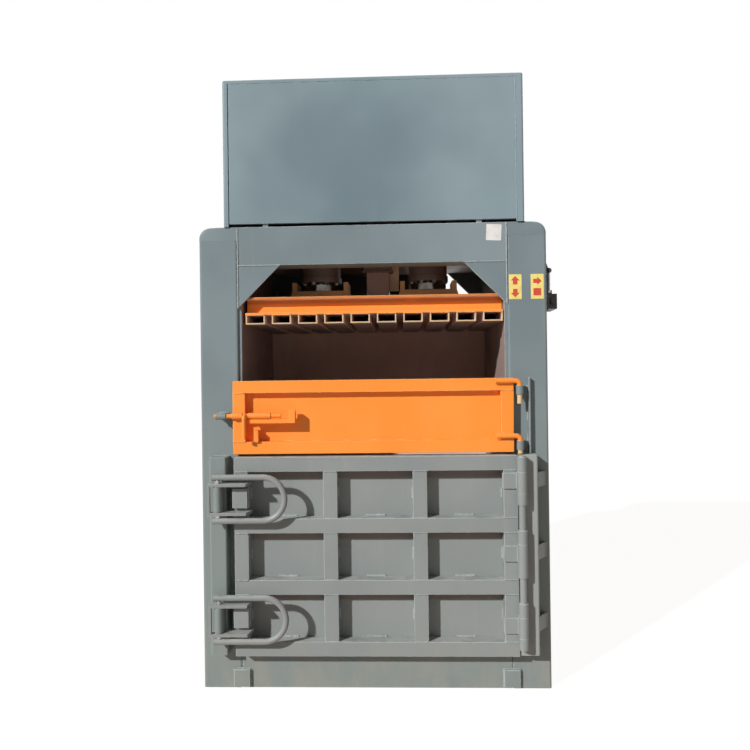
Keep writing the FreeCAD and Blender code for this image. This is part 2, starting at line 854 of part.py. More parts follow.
# --- rams: barrel with a deck flange and a closed cap, and a gland at the bottom
glandTop = s.glandBottom + s.glandFlange
flangeTop = deckTop + s.deckFlangeThickness
glands = []
for side, word in ((-1, "left"), (1, "right")):
    barrel = [
        (s.boreRadius, glandTop),
        (s.barrelRadius, glandTop),
        (s.barrelRadius, deckTop),
        (s.deckFlangeRadius, deckTop),
        (s.deckFlangeRadius, flangeTop),
        (s.barrelRadius, flangeTop),
        (s.barrelRadius, s.barrelTop),
        (0, s.barrelTop),
        (0, s.barrelTop - s.capThickness),
        (s.boreRadius, s.barrelTop - s.capThickness),
    ]
    node(f"{word}_barrel", turned(f"{word}Barrel", barrel, side * ramX, s.ramY))
    gland = [
        (s.rodRadius + s.ramFit, s.glandBottom),
        (s.glandRadius, s.glandBottom),
        (s.glandRadius, glandTop),
        (s.boreRadius - s.ramFit, glandTop),
        (s.boreRadius - s.ramFit, glandTop + s.glandSpigot),
        (s.rodRadius + s.ramFit, glandTop + s.glandSpigot),
    ]
    glands.append(turned(f"{word}Gland", gland, side * ramX, s.ramY))
node("cylinder_glands", group("cylinderGlands", glands))

# --- platen: two plates, webs set back from the front, ribs inside and channels below
platenTop = s.platenBottom + s.platenHeight
webFront = s.platenFront + s.platenFlange
webBack = s.platenBack - s.platenFlange
platenDepth = (s.platenFront, s.platenBack)
insideLow = s.platenBottom + s.platenPlate
insideHigh = platenTop - s.platenPlate
platenPieces = [
    block("platenSole", (s.platenLeft, s.platenRight), platenDepth, (s.platenBottom, insideLow)),
    block("platenDeck", (s.platenLeft, s.platenRight), platenDepth, (insideHigh, platenTop)),
    block("platenFrontWeb", (s.platenLeft, s.platenRight), (webFront, webFront + s.platenWeb),
          (insideLow, insideHigh)),
    block("platenBackWeb", (s.platenLeft, s.platenRight), (webBack - s.platenWeb, webBack),
          (insideLow, insideHigh)),
]
ribGaps = s.platenRibs - 1
for i in range(int(s.platenRibs.value)):
    middle = s.platenLeft + s.platenWeb / 2 + (s.platenWidth - s.platenWeb) * i / ribGaps
    platenPieces.append(block(f"platenRib{i}", (middle - s.platenWeb / 2, middle + s.platenWeb / 2),
                              (webFront, webBack), (insideLow, insideHigh)))
node("platen_frame", fuse("platenFrame", *platenPieces))
node("platen_channels", group("platenChannels", [
    strapChannel(f"platenChannel{i}", i, s.platenBottom - s.channelHeight, True,
                 s.platenFront, s.platenBack) for i in channelNumbers]))

# --- yokes that the rod flanges sit in, rods with pistons, and the guide post
yokeTop = platenTop + s.yokeHeight
earTop = yokeTop + s.yokeEarHeight
yokeHalf = s.yokeWidth / 2
yokes = []
for side, word in ((-1, "left"), (1, "right")):
    middle = side * ramX
    profile = [
        (middle - yokeHalf - s.yokeSlope, platenTop),
        (middle + yokeHalf + s.yokeSlope, platenTop),
        (middle + yokeHalf, yokeTop),
        (middle + yokeHalf, earTop),
        (middle + yokeHalf - s.yokeEar, earTop),
        (middle + yokeHalf - s.yokeEar, yokeTop),
        (middle - yokeHalf + s.yokeEar, yokeTop),
        (middle - yokeHalf + s.yokeEar, earTop),
        (middle - yokeHalf, earTop),
        (middle - yokeHalf, yokeTop),
    ]
    yokes.append(prism(f"{word}Yoke", "XZ", profile, s.ramY - s.yokeDepth / 2,
                       s.ramY + s.yokeDepth / 2))
    pistonTop = s.barrelTop - s.capThickness - s.pistonTopGap
    pistonFoot = pistonTop - s.pistonLength
    rod = [
        (0, yokeTop),
        (s.rodFlangeRadius, yokeTop),
        (s.rodFlangeRadius, yokeTop + s.rodFlangeThickness),
        (s.rodRadius, yokeTop + s.rodFlangeThickness),
        (s.rodRadius, pistonFoot),
        (s.boreRadius - s.ramFit, pistonFoot),
        (s.boreRadius - s.ramFit, pistonTop),
        (0, pistonTop),
    ]
    node(f"{word}_rod", turned(f"{word}Rod", rod, middle, s.ramY))
node("rod_yokes", group("rodYokes", yokes))

postTube = squareRing("postTube", postMiddle, s.postWidth / 2, s.postWidth / 2 - s.postWall,
                      (platenTop, s.postTop))
postStrip = block("postStrip",
                  (s.postX + s.postWidth / 2, s.postX + s.postWidth / 2 + s.postStrip),
                  (s.ramY - s.postStripDepth / 2, s.ramY + s.postStripDepth / 2),
                  (platenTop + s.yokeHeight + s.postStripClear, s.postTop))
postFace = s.ramY - s.postWidth / 2
postKnee = prism("postKnee", "XZ", [
    (s.postX - s.postWidth / 2, platenTop),
    (s.postX - s.postWidth / 2 + 46, platenTop),
    (s.postX - s.postWidth / 2, platenTop + 70)], postFace - 10, postFace)
node("guide_post", fuse("guidePost", postTube, postStrip, postKnee))

# --- shroud: folded shell with an open front, and a flush front sheet with folded lips
sheetWall = s.shroudSheet
shell = block("shroudOuter", (s.shroudLeft, s.shroudRight), (s.shroudFront, s.shroudBack),
              (s.frameTop, s.shroudTop))
inside = block("shroudInside", (s.shroudLeft + sheetWall, s.shroudRight - sheetWall),
               (s.shroudFront + sheetWall, s.shroudBack - sheetWall),
               (s.frameTop, s.shroudTop - sheetWall))
mouth = block("shroudMouth", (s.hoodLeft, s.hoodRight),
              (s.shroudFront, s.shroudFront + sheetWall), (s.frameTop, s.hoodTop))
rounded = doc.addObject("Part::Fillet", "shroudRounded")
doc.recompute()
rounded.Base = shell
rounded.Edges = [
    (number, s.shroudBend.value, s.shroudBend.value)
    for number, edge in enumerate(shell.Shape.Edges, start=1)
    if edge.CenterOfMass.z > s.shroudTop.value - 1 or isAlong(edge, zAxis)]
pipeHoles = []
valveLeft = outer + s.valvePlate
valveFront = s.valveY - s.valveLength / 2
valveBack = s.valveY + s.valveLength / 2
pipeY = valveBack - 16
pipeLines = [(valveLeft + s.valveWidth / 2 + (i - 0.5) * s.pipePitch,
              s.frameTop + s.pipeOver + (i - 0.5) * s.pipePitch) for i in range(2)]
for i, (x, z) in enumerate(pipeLines):
    pipeHoles.append(drum(f"pipeHole{i}", s.pipeRadius + s.holeFit, sheetWall * 2, "X",
                          s.shroudRight - sheetWall * 1.5, pipeY, z))
supplyX = [s.tankRight - 60 - s.pipePitch * i for i in range(2)]
supplyZ = s.frameTop + 90
for i, x in enumerate(supplyX):
    pipeHoles.append(drum(f"supplyHole{i}", s.pipeRadius + s.holeFit, sheetWall * 2, "Y",
                          x, s.shroudBack - sheetWall * 1.5, supplyZ))
node("shroud", cut("shroudShell", rounded, inside, mouth, *pipeHoles))

hoodLow = s.hoodLeft + s.hoodGap
hoodHigh = s.hoodRight - s.hoodGap / 2
hoodFace = block("hoodFace", (hoodLow, hoodHigh),
                 (s.shroudFront, s.shroudFront + sheetWall), (s.hoodFoot, s.hoodTop - 2))
hoodLips = [
    block("hoodLipLeft", (hoodLow, hoodLow + sheetWall),
          (s.shroudFront, s.shroudFront + s.hoodLip), (s.hoodFoot, s.hoodTop - 2)),
    block("hoodLipRight", (hoodHigh - sheetWall, hoodHigh),
          (s.shroudFront, s.shroudFront + s.hoodLip), (s.hoodFoot, s.hoodTop - 2)),
    block("hoodLipFoot", (hoodLow, hoodHigh), (s.shroudFront, s.shroudFront + s.hoodLip),
          (s.hoodFoot, s.hoodFoot + sheetWall)),
]
clips = [block(f"hoodClip{i}", (x - 12, x + 12),
               (frontY + 2, frontY + 12), (s.frameTop, s.hoodFoot))
         for i, x in enumerate((s.hoodLeft + 164, s.hoodRight - 166))]
node("shroud_front", fuse("shroudFrontSheet", hoodFace, *hoodLips, *clips))


# --- posts that carry the main door's latches and hinge
def doorPost(label, low, high):
    body = newBody(label + "Body")
    sketch = newSketch(body, label + "Plan", "XY", s.doorPostFoot)
    outline(sketch, rectangle(low, high, doorPostFace, frontY))
    pad(body, sketch, s.doorPostTop - s.doorPostFoot)
    roundEdges(body, s.doorPostWall, lambda edge, mid: isAlong(edge, zAxis)
               and mid.y < doorPostFace.value + 1)
    wall = s.doorPostWall
    hollow(body, label + "Inside", "XY",
           rectangle(low + wall, high - wall, doorPostFace + wall, frontY),
           s.doorPostFoot, s.doorPostTop - s.doorPostFoot - wall, 1)
    return body


latchPost = doorPost("latchPost", s.latchPostLeft, s.latchPostRight)
pinY = doorPostFace - s.latchPinReach
latchHeights = (("upper", s.latchHigh), ("lower", s.latchLow))
tubeHalf = s.clawHalf - s.clawPlate - s.latchTubeGap
tubeRight = s.latchPinX + s.latchTube
# a short tube on a web carries each latch's pin in front of the post
tubes = []
tubeHoles = []
for word, middle in latchHeights:
    tubes.append(drum(f"{word}LatchTube", s.latchTube, tubeHalf * 2, "Z",
                      s.latchPinX, pinY, middle - tubeHalf))
    tubes.append(block(f"{word}LatchWeb", (tubeRight - s.latchWeb, tubeRight),
                       (pinY, doorPostFace), (middle - tubeHalf, middle + tubeHalf)))
    tubeHoles.append(drum(f"{word}LatchTubeHole", s.latchPinRadius, tubeHalf * 2, "Z",
                          s.latchPinX, pinY, middle - tubeHalf))
node("latch_post", cut("latchPostWelded", fuse("latchPostTubes", latchPost, *tubes), *tubeHoles))
pinShoulder = s.bailRadius - s.bailBar - 1
pinHalf = s.bailRadius + s.bailBar
latchPins = []
for word, middle in latchHeights:
    shaft = drum(f"{word}PinShaft", s.latchPinRadius, pinShoulder * 2, "Z",
                 s.latchPinX, pinY, middle - pinShoulder)
    ends = drum(f"{word}PinEnds", s.bailPinRadius, pinHalf * 2, "Z",
                s.latchPinX, pinY, middle - pinHalf)
    latchPins.append(fuse(f"{word}Pin", shaft, ends))
node("latch_pins", group("latchPins", latchPins))

hingePost = doorPost("hingePost", s.hingePostLeft, s.hingePostRight)
doorMiddle = (s.doorFoot + s.doorTop) / 2
strapMiddles = (s.doorTop - 109, doorMiddle + 12, s.doorFoot + 136.5)
braces = []
for i, middle in enumerate(strapMiddles):
    low, high = middle - s.braceHeight / 2, middle + s.braceHeight / 2
    points = [(s.hingePostRight, doorPostFace + 12), (outer - 18, frontY),
              (outer - 18 - s.bracePlate * 1.4, frontY),
              (s.hingePostRight, doorPostFace + 12 + s.bracePlate * 1.6)]
    braces.append(prism(f"brace{i}", "XY", points, low, high))
node("hinge_post", group("hingePostBraced", [hingePost] + braces))

hingeY = doorPostFace - s.hingeReach
doorKnuckles = ((s.doorTop - 158, s.doorTop - 68), (doorMiddle - 85.5, doorMiddle + 59.5),
                (s.doorFoot + 93, s.doorFoot + 183))
fixedKnuckles = ((s.doorTop - 209, s.doorTop - 158), (s.doorTop - 68, s.doorTop - 3),
                 (doorMiddle + 59.5, doorMiddle + 118.5),
                 (s.doorFoot + 183, s.doorFoot + 242), (s.doorFoot + 42, s.doorFoot + 93))


def knuckle(name, low, high, webX, webBack):
    """A hinge knuckle with a web over webX that reaches back to the plate behind it."""
    foot, top = low + s.knuckleGap / 2, high - s.knuckleGap / 2
    barrel = drum(name + "Barrel", s.knuckleRadius, top - foot, "Z", s.hingeX, hingeY, foot)
    web = block(name + "Web", webX, (hingeY, webBack), (foot, top))
    return barrel, web


hingePin = drum("doorHingePin", s.hingePinRadius, s.doorHeight - 37, "Z", s.hingeX, hingeY,
                s.doorFoot + 38)
fixedPieces = [hingePin]
for i, (low, high) in enumerate(fixedKnuckles):
    fixedPieces += knuckle(f"fixedKnuckle{i}", low, high,
                           (s.hingeX, s.hingeX + s.knuckleRadius), doorPostFace)
node("door_hinge_pin", fuse("doorHinge", *fixedPieces))

# --- main door: rails run through, stiles fit between them, a plate closes the back
doorFace = doorPostFace
plateFront = frontY - s.doorGap - s.doorPlate
node("door_plate", block("doorPlate", (s.doorLeft, s.doorRight), (plateFront, frontY - s.doorGap),
                         (s.doorFoot, s.doorTop)))


def foldedBar(name, xs, zs, front):
    """A bar folded from plate, open at the back where it meets the door plate."""
    wall = s.doorBarWall
    body = newBody(name)
    sketch = newSketch(body, name + "Face", "XZ", -plateFront)
    outline(sketch, rectangle(xs[0], xs[1], zs[0], zs[1]))
    pad(body, sketch, plateFront - front)
    hollow(body, name + "Inside", "XZ",
           rectangle(xs[0] + wall, xs[1] - wall, zs[0] + wall, zs[1] - wall),
           plateFront, plateFront - front - wall, -1)
    return body


railPitch = (s.doorTop - s.doorFoot - s.doorRailHeight) / 3
stilePitch = (s.doorRight - s.doorLeft - s.doorBarWidth) / 3
rails = []
stiles = []
for i in range(4):
    foot = s.doorFoot + railPitch * i
    rails.append(foldedBar(f"doorRail{i}", (s.doorLeft, s.doorRight),
                           (foot, foot + s.doorRailHeight), doorFace))
    left = s.doorLeft + stilePitch * i
    for level in range(3):
        low = s.doorFoot + railPitch * level + s.doorRailHeight
        high = s.doorFoot + railPitch * (level + 1)
        # the two inner stiles stand a little behind the rails
        front = doorFace + s.doorStep if i in (1, 2) else doorFace
        stiles.append(foldedBar(f"doorStile{i}{level}", (left, left + s.doorBarWidth),
                                (low, high), front))
node("door_rails", group("doorRails", rails))
node("door_stiles", group("doorStiles", stiles))

straps = []
for i, (middle, (low, high)) in enumerate(zip(strapMiddles, doorKnuckles)):
    barrel, web = knuckle(f"doorKnuckle{i}", low, high,
                          (s.hingeX - s.knuckleRadius, s.hingeX), doorFace - s.strapClear)
    plate = block(f"strapPlate{i}", (s.hingeX - s.strapReach, s.hingePostLeft - s.strapClear),
                  (doorFace - s.strapPlate, doorFace),
                  (middle - s.strapHeight / 2, middle + s.strapHeight / 2))
    bore = drum(f"strapBore{i}", s.hingePinRadius + s.hingeFit, high - low, "Z",
                s.hingeX, hingeY, low)
    straps.append(cut(f"strap{i}", fuse(f"strapWelded{i}", barrel, web, plate), bore))
node("door_hinge_straps", group("doorHingeStraps", straps))

# --- latches: a claw that hooks round the door's stile and a bail handle on the same pin
for word, middle in latchHeights:
    x = s.latchPinX
    plan = [
        (x - s.clawTail, pinY - s.clawFront),
        (x - s.clawTail, pinY + 10),
        (x - s.clawTail / 2, pinY + s.clawFront),
        (x, pinY + s.clawFront + 4),
        (x + 50, pinY + s.clawBack),
        (x + s.clawReach - s.clawTip, pinY + s.clawBack),
        (x + s.clawReach - s.clawTip, pinY + s.clawBack + s.clawNose),
        (x + s.clawReach, pinY + s.clawBack + s.clawNose),
        (x + s.clawReach, pinY + s.clawBack),
        (x + s.clawReach - s.clawTip, pinY - s.clawFront),
    ]
    plates = []
    for i, (low, high) in enumerate((
            (middle - s.clawHalf, middle - s.clawHalf + s.clawPlate),
            (middle + s.clawHalf - s.clawPlate, middle + s.clawHalf))):
        plates.append(prism(f"{word}ClawPlate{i}", "XY", plan, low, high))
    # a narrow plate at the left edge joins the two plates that hook round the keeper
    side = block(f"{word}ClawSide", (x - s.clawTail, x - s.clawTail + s.clawSide),
                 (pinY - s.clawFront, pinY - s.clawSideInset),
                 (middle - s.clawHalf, middle + s.clawHalf))
    bore = drum(f"{word}ClawBore", s.latchPinRadius + s.latchFit, s.clawHalf * 2, "Z",
                x, pinY, middle - s.clawHalf)
    node(f"{word}_claw", cut(f"{word}Claw", fuse(f"{word}ClawWelded", *plates, side), bore))

    body = newBody(f"{word}BailBody")
    spine = newSketch(body, f"{word}BailPath", "XZ", -pinY)
    turnX = x + s.bailStraight
    low, high = middle - s.bailRadius, middle + s.bailRadius
    tail = x - s.bailTail
    hook(spine, (tail, high), (turnX, high), (turnX + s.bailRadius, middle), (turnX, low),
         (tail, low))
    section = newSketch(body, f"{word}BailSection", "YZ", tail)
    circle(section, pinY, high, s.bailBar)
    bail = body.newObject("PartDesign::AdditivePipe", f"{word}BailSweep")
    bail.Profile = section
    bail.Spine = (spine, ["Edge1", "Edge2", "Edge3"])
    bore = drum(f"{word}BailBore", s.bailPinRadius + s.latchFit,
                (s.bailRadius + s.bailBar) * 2, "Z", x, pinY, low - s.bailBar)
    node(f"{word}_handle", cut(f"{word}Bail", body, bore))

stileMiddle = s.doorLeft + s.doorBarWidth / 2
node("claw_keepers", group("clawKeepers", [
    block(f"{word}Keeper", (stileMiddle - s.keeperWidth / 2, stileMiddle + s.keeperWidth / 2),
          (doorFace - s.keeperDepth, doorFace),
          (middle - s.keeperHeight / 2, middle + s.keeperHeight / 2))
    for word, middle in latchHeights]))

# --- feed gate: tube frame, plate set at its back, bent rods as hinges
gateBack = frontY - s.gateGap
gateFace = gateBack - s.gateDepth
gateInner = (s.gateLeft + s.gateBar, s.gateRight - s.gateBar)
gateBars = [
    boxBeam("gateRailTop", (s.gateLeft, s.gateRight), (gateFace, gateBack),
            (s.gateTop - s.gateBar, s.gateTop), s.gateBarWall),
    boxBeam("gateRailFoot", (s.gateLeft, s.gateRight), (gateFace, gateBack),
            (s.gateFoot, s.gateFoot + s.gateBar), s.gateBarWall),
]
for i, (low, high) in enumerate(((s.gateLeft, gateInner[0]), (gateInner[1], s.gateRight))):
    zs = (s.gateFoot + s.gateBar, s.gateTop - s.gateBar)
    shell = block(f"gateStile{i}Outer", (low, high), (gateFace, gateBack), zs)
    core = block(f"gateStile{i}Core", (low + s.gateBarWall, high - s.gateBarWall),
                 (gateFace + s.gateBarWall, gateBack - s.gateBarWall), zs)
    gateBars.append(cut(f"gateStile{i}", shell, core))
node("gate_frame", group("gateFrame", gateBars))
panelFront = gateBack - s.gatePlate
node("gate_panel", block("gatePanel", gateInner, (panelFront, gateBack),
                         (s.gateFoot + s.gateBar, s.gateTop - s.gateBar)))

gatePinY = gateFace - s.gateRodRadius
bentRods = []
sleeves = []
for i, (height, length) in enumerate(((s.gateRodHigh, s.gateRodLength),
                                      (s.gateRodLow, s.gateRodLowLength))):
    body = newBody(f"gateRod{i}")
    start = s.gatePinX - s.gateRodReach
    spine = newSketch(body, f"gateRodPath{i}", "XZ", -gatePinY)
    bend = s.gateRodBend
    inset = bend * (1 - math.sqrt(0.5))
    hook(spine, (start, height), (s.gatePinX - bend, height),
         (s.gatePinX - inset, height - inset),
         (s.gatePinX, height - bend), (s.gatePinX, height - length))
    section = newSketch(body, f"gateRodSection{i}", "YZ", start)
    circle(section, gatePinY, height, s.gateRodRadius)
    sweep = body.newObject("PartDesign::AdditivePipe", f"gateRodSweep{i}")
    sweep.Profile = section
    sweep.Spine = (spine, ["Edge1", "Edge2", "Edge3"])
    bentRods.append(body)
    # the sleeve starts just under the rod's bend
    top = height - bend - 2
    foot = top - s.sleeveHeight
    ring = drum(f"sleeveRing{i}", s.sleeveRadius, s.sleeveHeight, "Z", s.gatePinX, gatePinY, foot)
    lug = block(f"sleeveLug{i}", (s.gatePinX - s.sleeveLug / 2, s.gatePinX + s.sleeveLug / 2),
                (gatePinY, frontY), (foot, top))
    bore = drum(f"sleeveBore{i}", s.gateRodRadius + s.sleeveFit, s.sleeveHeight, "Z",
                s.gatePinX, gatePinY, foot)
    sleeves.append(cut(f"sleeve{i}", fuse(f"sleeveWelded{i}", ring, lug), bore))
node("gate_hinge_rods", group("gateHingeRods", bentRods))
node("gate_hinge_sleeves", group("gateHingeSleeves", sleeves))
node("gate_stop_bar", block("gateStopBar", (s.stopX, s.stopX + s.stopPlate),
                            (frontY - s.stopReach, frontY), (s.gateFoot - 8, s.gateTop + 2)))

# --- gate bolt: receiver on the column, sleeve and angle carrier on the gate
boltY = gateFace - s.boltSleeve
boltBore = s.boltRadius + s.boltFit
receiver = drum("receiverTube", s.boltSleeve, s.receiverRight - s.receiverLeft, "X",
                s.receiverLeft, boltY, s.boltZ)
receiverLug = block("receiverLug", (s.receiverLeft, s.receiverRight), (boltY, frontY),
                    (s.boltZ - 10, s.boltZ + 10))
receiverBore = drum("receiverBore", s.boltRadius + s.boltFit, s.receiverRight - s.receiverLeft,
                    "X", s.receiverLeft, boltY, s.boltZ)
node("bolt_receiver", cut("boltReceiver", fuse("receiverWelded", receiver, receiverLug),
                          receiverBore))

sleeveLength = s.gateBar - 8
guideSleeve = tube("boltSleeveTube", s.boltSleeve, boltBore, sleeveLength, "X",
                   s.gateLeft, boltY, s.boltZ)
carrierTop = s.boltZ - s.collarRadius - s.carrierGap
carrierFront = boltY - s.collarRadius
shelf = block("carrierShelf", (s.collarLeft, s.carrierRight), (carrierFront, panelFront),
              (carrierTop - s.carrierPlate, carrierTop))
leg = block("carrierLeg", (s.collarLeft, s.carrierRight),
            (carrierFront, carrierFront + s.carrierPlate),
            (carrierTop - s.carrierLeg, carrierTop))
tail = block("carrierTail", (s.carrierRight - s.carrierEnd, s.carrierRight),
             (carrierFront, carrierFront + s.carrierEnd + 6), (carrierTop, s.carrierEndTop))
tailBore = drum("carrierTailBore", boltBore + 0.4, s.carrierEnd, "X",
                s.carrierRight - s.carrierEnd, boltY, s.boltZ)
carrier = cut("boltCarrier", fuse("carrierWelded", shelf, leg, tail), tailBore)
node("bolt_guides", group("boltGuides", [guideSleeve, carrier]))
node("gate_peg", block("gatePeg", (s.pegX - s.pegWidth / 2, s.pegX + s.pegWidth / 2),
                       (gateFace - 14, panelFront),
                       (s.gateFoot + s.gateBar, s.gateFoot + s.gateBar + s.pegHeight)))

node("bolt_collar", tube("boltCollar", s.collarRadius, boltBore, s.collarRight - s.collarLeft,
                         "X", s.collarLeft, boltY, s.boltZ))


def runShape(points, radius, bend):
    """A round bar or pipe along straight runs joined by tangent arcs."""
    corners = [Vector(*[asSize(v).value for v in p]) for p in points]
    edges = []
    start = corners[0]
    for before, corner, after in zip(corners, corners[1:], corners[2:]):
        back = (before - corner).normalize()
        ahead = (after - corner).normalize()
        angle = math.acos(max(-1.0, min(1.0, back.dot(ahead))))
        setback = bend.value / math.tan(angle / 2)
        first = corner + back * setback
        last = corner + ahead * setback
        bisector = (back + ahead).normalize()
        centre = corner + bisector * (bend.value / math.sin(angle / 2))
        middle = centre - bisector * bend.value
        edges.append(Part.LineSegment(start, first).toShape())
        edges.append(Part.Arc(first, middle, last).toShape())
        start = last
    edges.append(Part.LineSegment(start, corners[-1]).toShape())
    spine = Part.Wire(edges)
    direction = (corners[1] - corners[0]).normalize()
    ring = Part.Wire([Part.Circle(corners[0], direction, radius.value).toShape()])
    shape = spine.makePipeShell([ring], True, False)
    expected = math.pi * radius.value ** 2 * spine.Length
    if abs(shape.Volume / expected - 1) > 0.02:
        raise RuntimeError("a pipe run has the wrong volume")
    return shape


def run(name, points, radius, bend):
    item = doc.addObject("Part::Feature", name)
    item.Shape = runShape(points, radius, bend)
    item.Placement = FreeCAD.Placement()
    return item


armOut = boltY - s.boltArmReach
boltShaft = drum("boltShaft", s.boltRadius, s.boltEnd - s.boltTip, "X", s.boltTip, boltY, s.boltZ)
boltArm = run("boltArm", [
    (s.boltArmX, boltY, s.boltZ),
    (s.boltArmX, armOut, s.boltZ),
    (s.boltArmX, armOut, s.boltZ - s.boltArmDrop)], s.boltArmRadius, s.boltArmBend)
node("gate_bolt", fuse("gateBolt", boltShaft, boltArm))

# --- power unit: tank on two arms behind the frame, pump motor on its lid
tankFront = rearY + s.tankGap
tankBack = tankFront + s.tankDepth
carrierRail = boxBeam("tankRail", (-outer, outer), (rearY, rearY + s.armWidth),
                      (s.tankFoot - s.armHeight * 2, s.tankFoot - s.armHeight), s.armPlate)
arms = []
for i, x in enumerate((s.tankLeft + s.armWidth, s.tankRight - s.armWidth)):
    arms.append(block(f"tankArm{i}", (x - s.armWidth / 2, x + s.armWidth / 2),
                      (rearY, tankBack), (s.tankFoot - s.armHeight, s.tankFoot)))
    arms.append(prism(f"tankStrut{i}", "YZ", [
        (rearY + s.armWidth, s.tankFoot - s.armHeight * 2),
        (rearY + s.armWidth, s.tankFoot - s.armHeight),
        (tankBack - 60, s.tankFoot - s.armHeight)], x - s.armPlate, x + s.armPlate))
node("tank_bracket", fuse("tankBracket", carrierRail, *arms))

tankBody = newBody("tankBody")
tankPlan = newSketch(tankBody, "tankPlan", "XY", s.tankFoot)
outline(tankPlan, rectangle(s.tankLeft, s.tankRight, tankFront, tankBack))
pad(tankBody, tankPlan, s.tankTop - s.tankFoot - s.tankLid)
roundEdges(tankBody, s.tankRadius, lambda edge, mid: isAlong(edge, zAxis))
sheetThickness = s.shroudSheet + 1
hollow(tankBody, "tankInside", "XY",
       rectangle(s.tankLeft + s.tankRadius, s.tankRight - s.tankRadius,
                 tankFront + sheetThickness, tankBack - sheetThickness),
       s.tankTop - s.tankLid, s.tankTop - s.tankFoot - s.tankLid - sheetThickness, -1)
gauge = block("tankGauge", (s.tankRight - 60, s.tankRight - 30), (tankBack, tankBack + 12),
              (s.tankFoot + 120, s.tankFoot + 260))
tankShell = fuse("oilTank", tankBody, gauge)
lid = block("tankLidPlate", (s.tankLeft - s.tankLidEdge / 2, s.tankRight + s.tankLidEdge / 2),
            (tankFront - s.tankLidEdge / 2, tankBack + s.tankLidEdge / 2),
            (s.tankTop - s.tankLid, s.tankTop))
filler = drum("tankFiller", 38, 45, "Z", s.tankLeft + 70, tankBack - 70, s.tankTop)
fillerCap = drum("tankFillerCap", 45, 22, "Z", s.tankLeft + 70, tankBack - 70, s.tankTop + 45)
node("oil_tank", group("oilTankClosed", [tankShell,
                                          fuse("tankLid", lid, filler, fillerCap)]))

motorFoot = s.tankTop + s.bellHeight
motorTop = motorFoot + s.motorFlangePlate + s.motorLength
bell = [(0, s.tankTop), (s.bellRadius + 20, s.tankTop), (s.bellRadius + 20, s.tankTop + 12),
        (s.bellRadius, s.tankTop + 12), (s.bellRadius, motorFoot), (0, motorFoot)]
bellBody = turned("pumpBell", bell, s.motorX, s.motorY)
motorProfile = [
    (0, motorFoot), (s.motorFlange, motorFoot), (s.motorFlange, motorFoot + s.motorFlangePlate),
    (s.motorRadius, motorFoot + s.motorFlangePlate), (s.motorRadius, motorTop),
    (s.motorRadius + s.finHeight + 2, motorTop), (s.motorRadius + s.finHeight + 2,
                                                  motorTop + s.fanHeight - 12),
    (s.motorRadius - 6, motorTop + s.fanHeight), (0, motorTop + s.fanHeight)]
motorCase = turned("motorCase", motorProfile, s.motorX, s.motorY)
finFoot = motorFoot + s.motorFlangePlate + 20
fins = []
for i in range(int(s.motorFins.value)):
    fin = block(f"motorFin{i}", (0, s.motorRadius + s.finHeight),
                (-s.finPlate / 2, s.finPlate / 2), (finFoot, motorTop))
    place(fin, s.motorX, s.motorY, finFoot, (zAxis, i * 360 / s.motorFins.value))
    fins.append(fin)
terminal = block("motorTerminalBox", (s.motorX - 55, s.motorX + 55),
                 (s.motorY + s.motorRadius - 15, s.motorY + s.motorRadius + 55),
                 (finFoot + 60, finFoot + 170))
node("pump_motor", group("pumpMotor", [
    bellBody, fuse("motorWelded", motorCase, *fins, terminal)]))

# --- hand valve with two levers on the right column, for the platen and for the bale ram
valvePlate = block("valvePlate", (outer, valveLeft), (frontY + 20, valveBack + 15),
                   (s.valveFoot - 20, s.valveTop + 10))
valveCore = block("valveCore", (valveLeft, valveLeft + s.valveWidth), (valveFront, valveBack),
                  (s.valveFoot, s.valveTop))
valvePieces = [valvePlate, valveCore]
leverXs = [valveLeft + s.leverFirst + s.leverPitch * i for i in range(2)]
for i, x in enumerate(leverXs):
    for k, side in enumerate((-1, 1)):
        near = x + side * (s.leverThick / 2 + s.earGap)
        far = near + side * s.earPlate
        low, high = (far, near) if side < 0 else (near, far)
        valvePieces.append(block(f"valveEar{i}{k}", (low, high),
                                 (s.valveY - s.leverEye, s.valveY + s.leverEye),
                                 (s.valveTop, s.leverHigh + s.leverEye)))
    reach = s.leverThick / 2 + s.earGap + s.earPlate
    valvePieces.append(drum(f"valvePin{i}", s.leverPin, reach * 2, "X", x - reach,
                            s.valveY, s.leverHigh))
    valvePieces.append(drum(f"spoolCap{i}", 14, 22, "Y", x, valveFront - 22,
                            (s.valveFoot + s.valveTop) / 2))
node("hand_valve", fuse("handValve", *valvePieces))
for label, x in zip(("platen_lever", "eject_lever"), leverXs):
    eye = drum(label + "Eye", s.leverEye - 1, s.leverThick, "X", x - s.leverThick / 2,
               s.valveY, s.leverHigh)
    stem = drum(label + "Stem", s.leverRadius, s.leverLength, "Z", x, s.valveY,
                s.leverHigh + s.leverPin + 2)
    knob = doc.addObject("Part::Sphere", label + "Knob")
    bind(knob, "Radius", s.leverKnob)
    place(knob, x, s.valveY, s.leverHigh + s.leverLength)
    bore = drum(label + "Bore", s.leverPin + s.leverFit, s.leverThick, "X",
                x - s.leverThick / 2, s.valveY, s.leverHigh)
    node(label, cut(label + "Bored", fuse(label + "Welded", eye, stem, knob), bore))

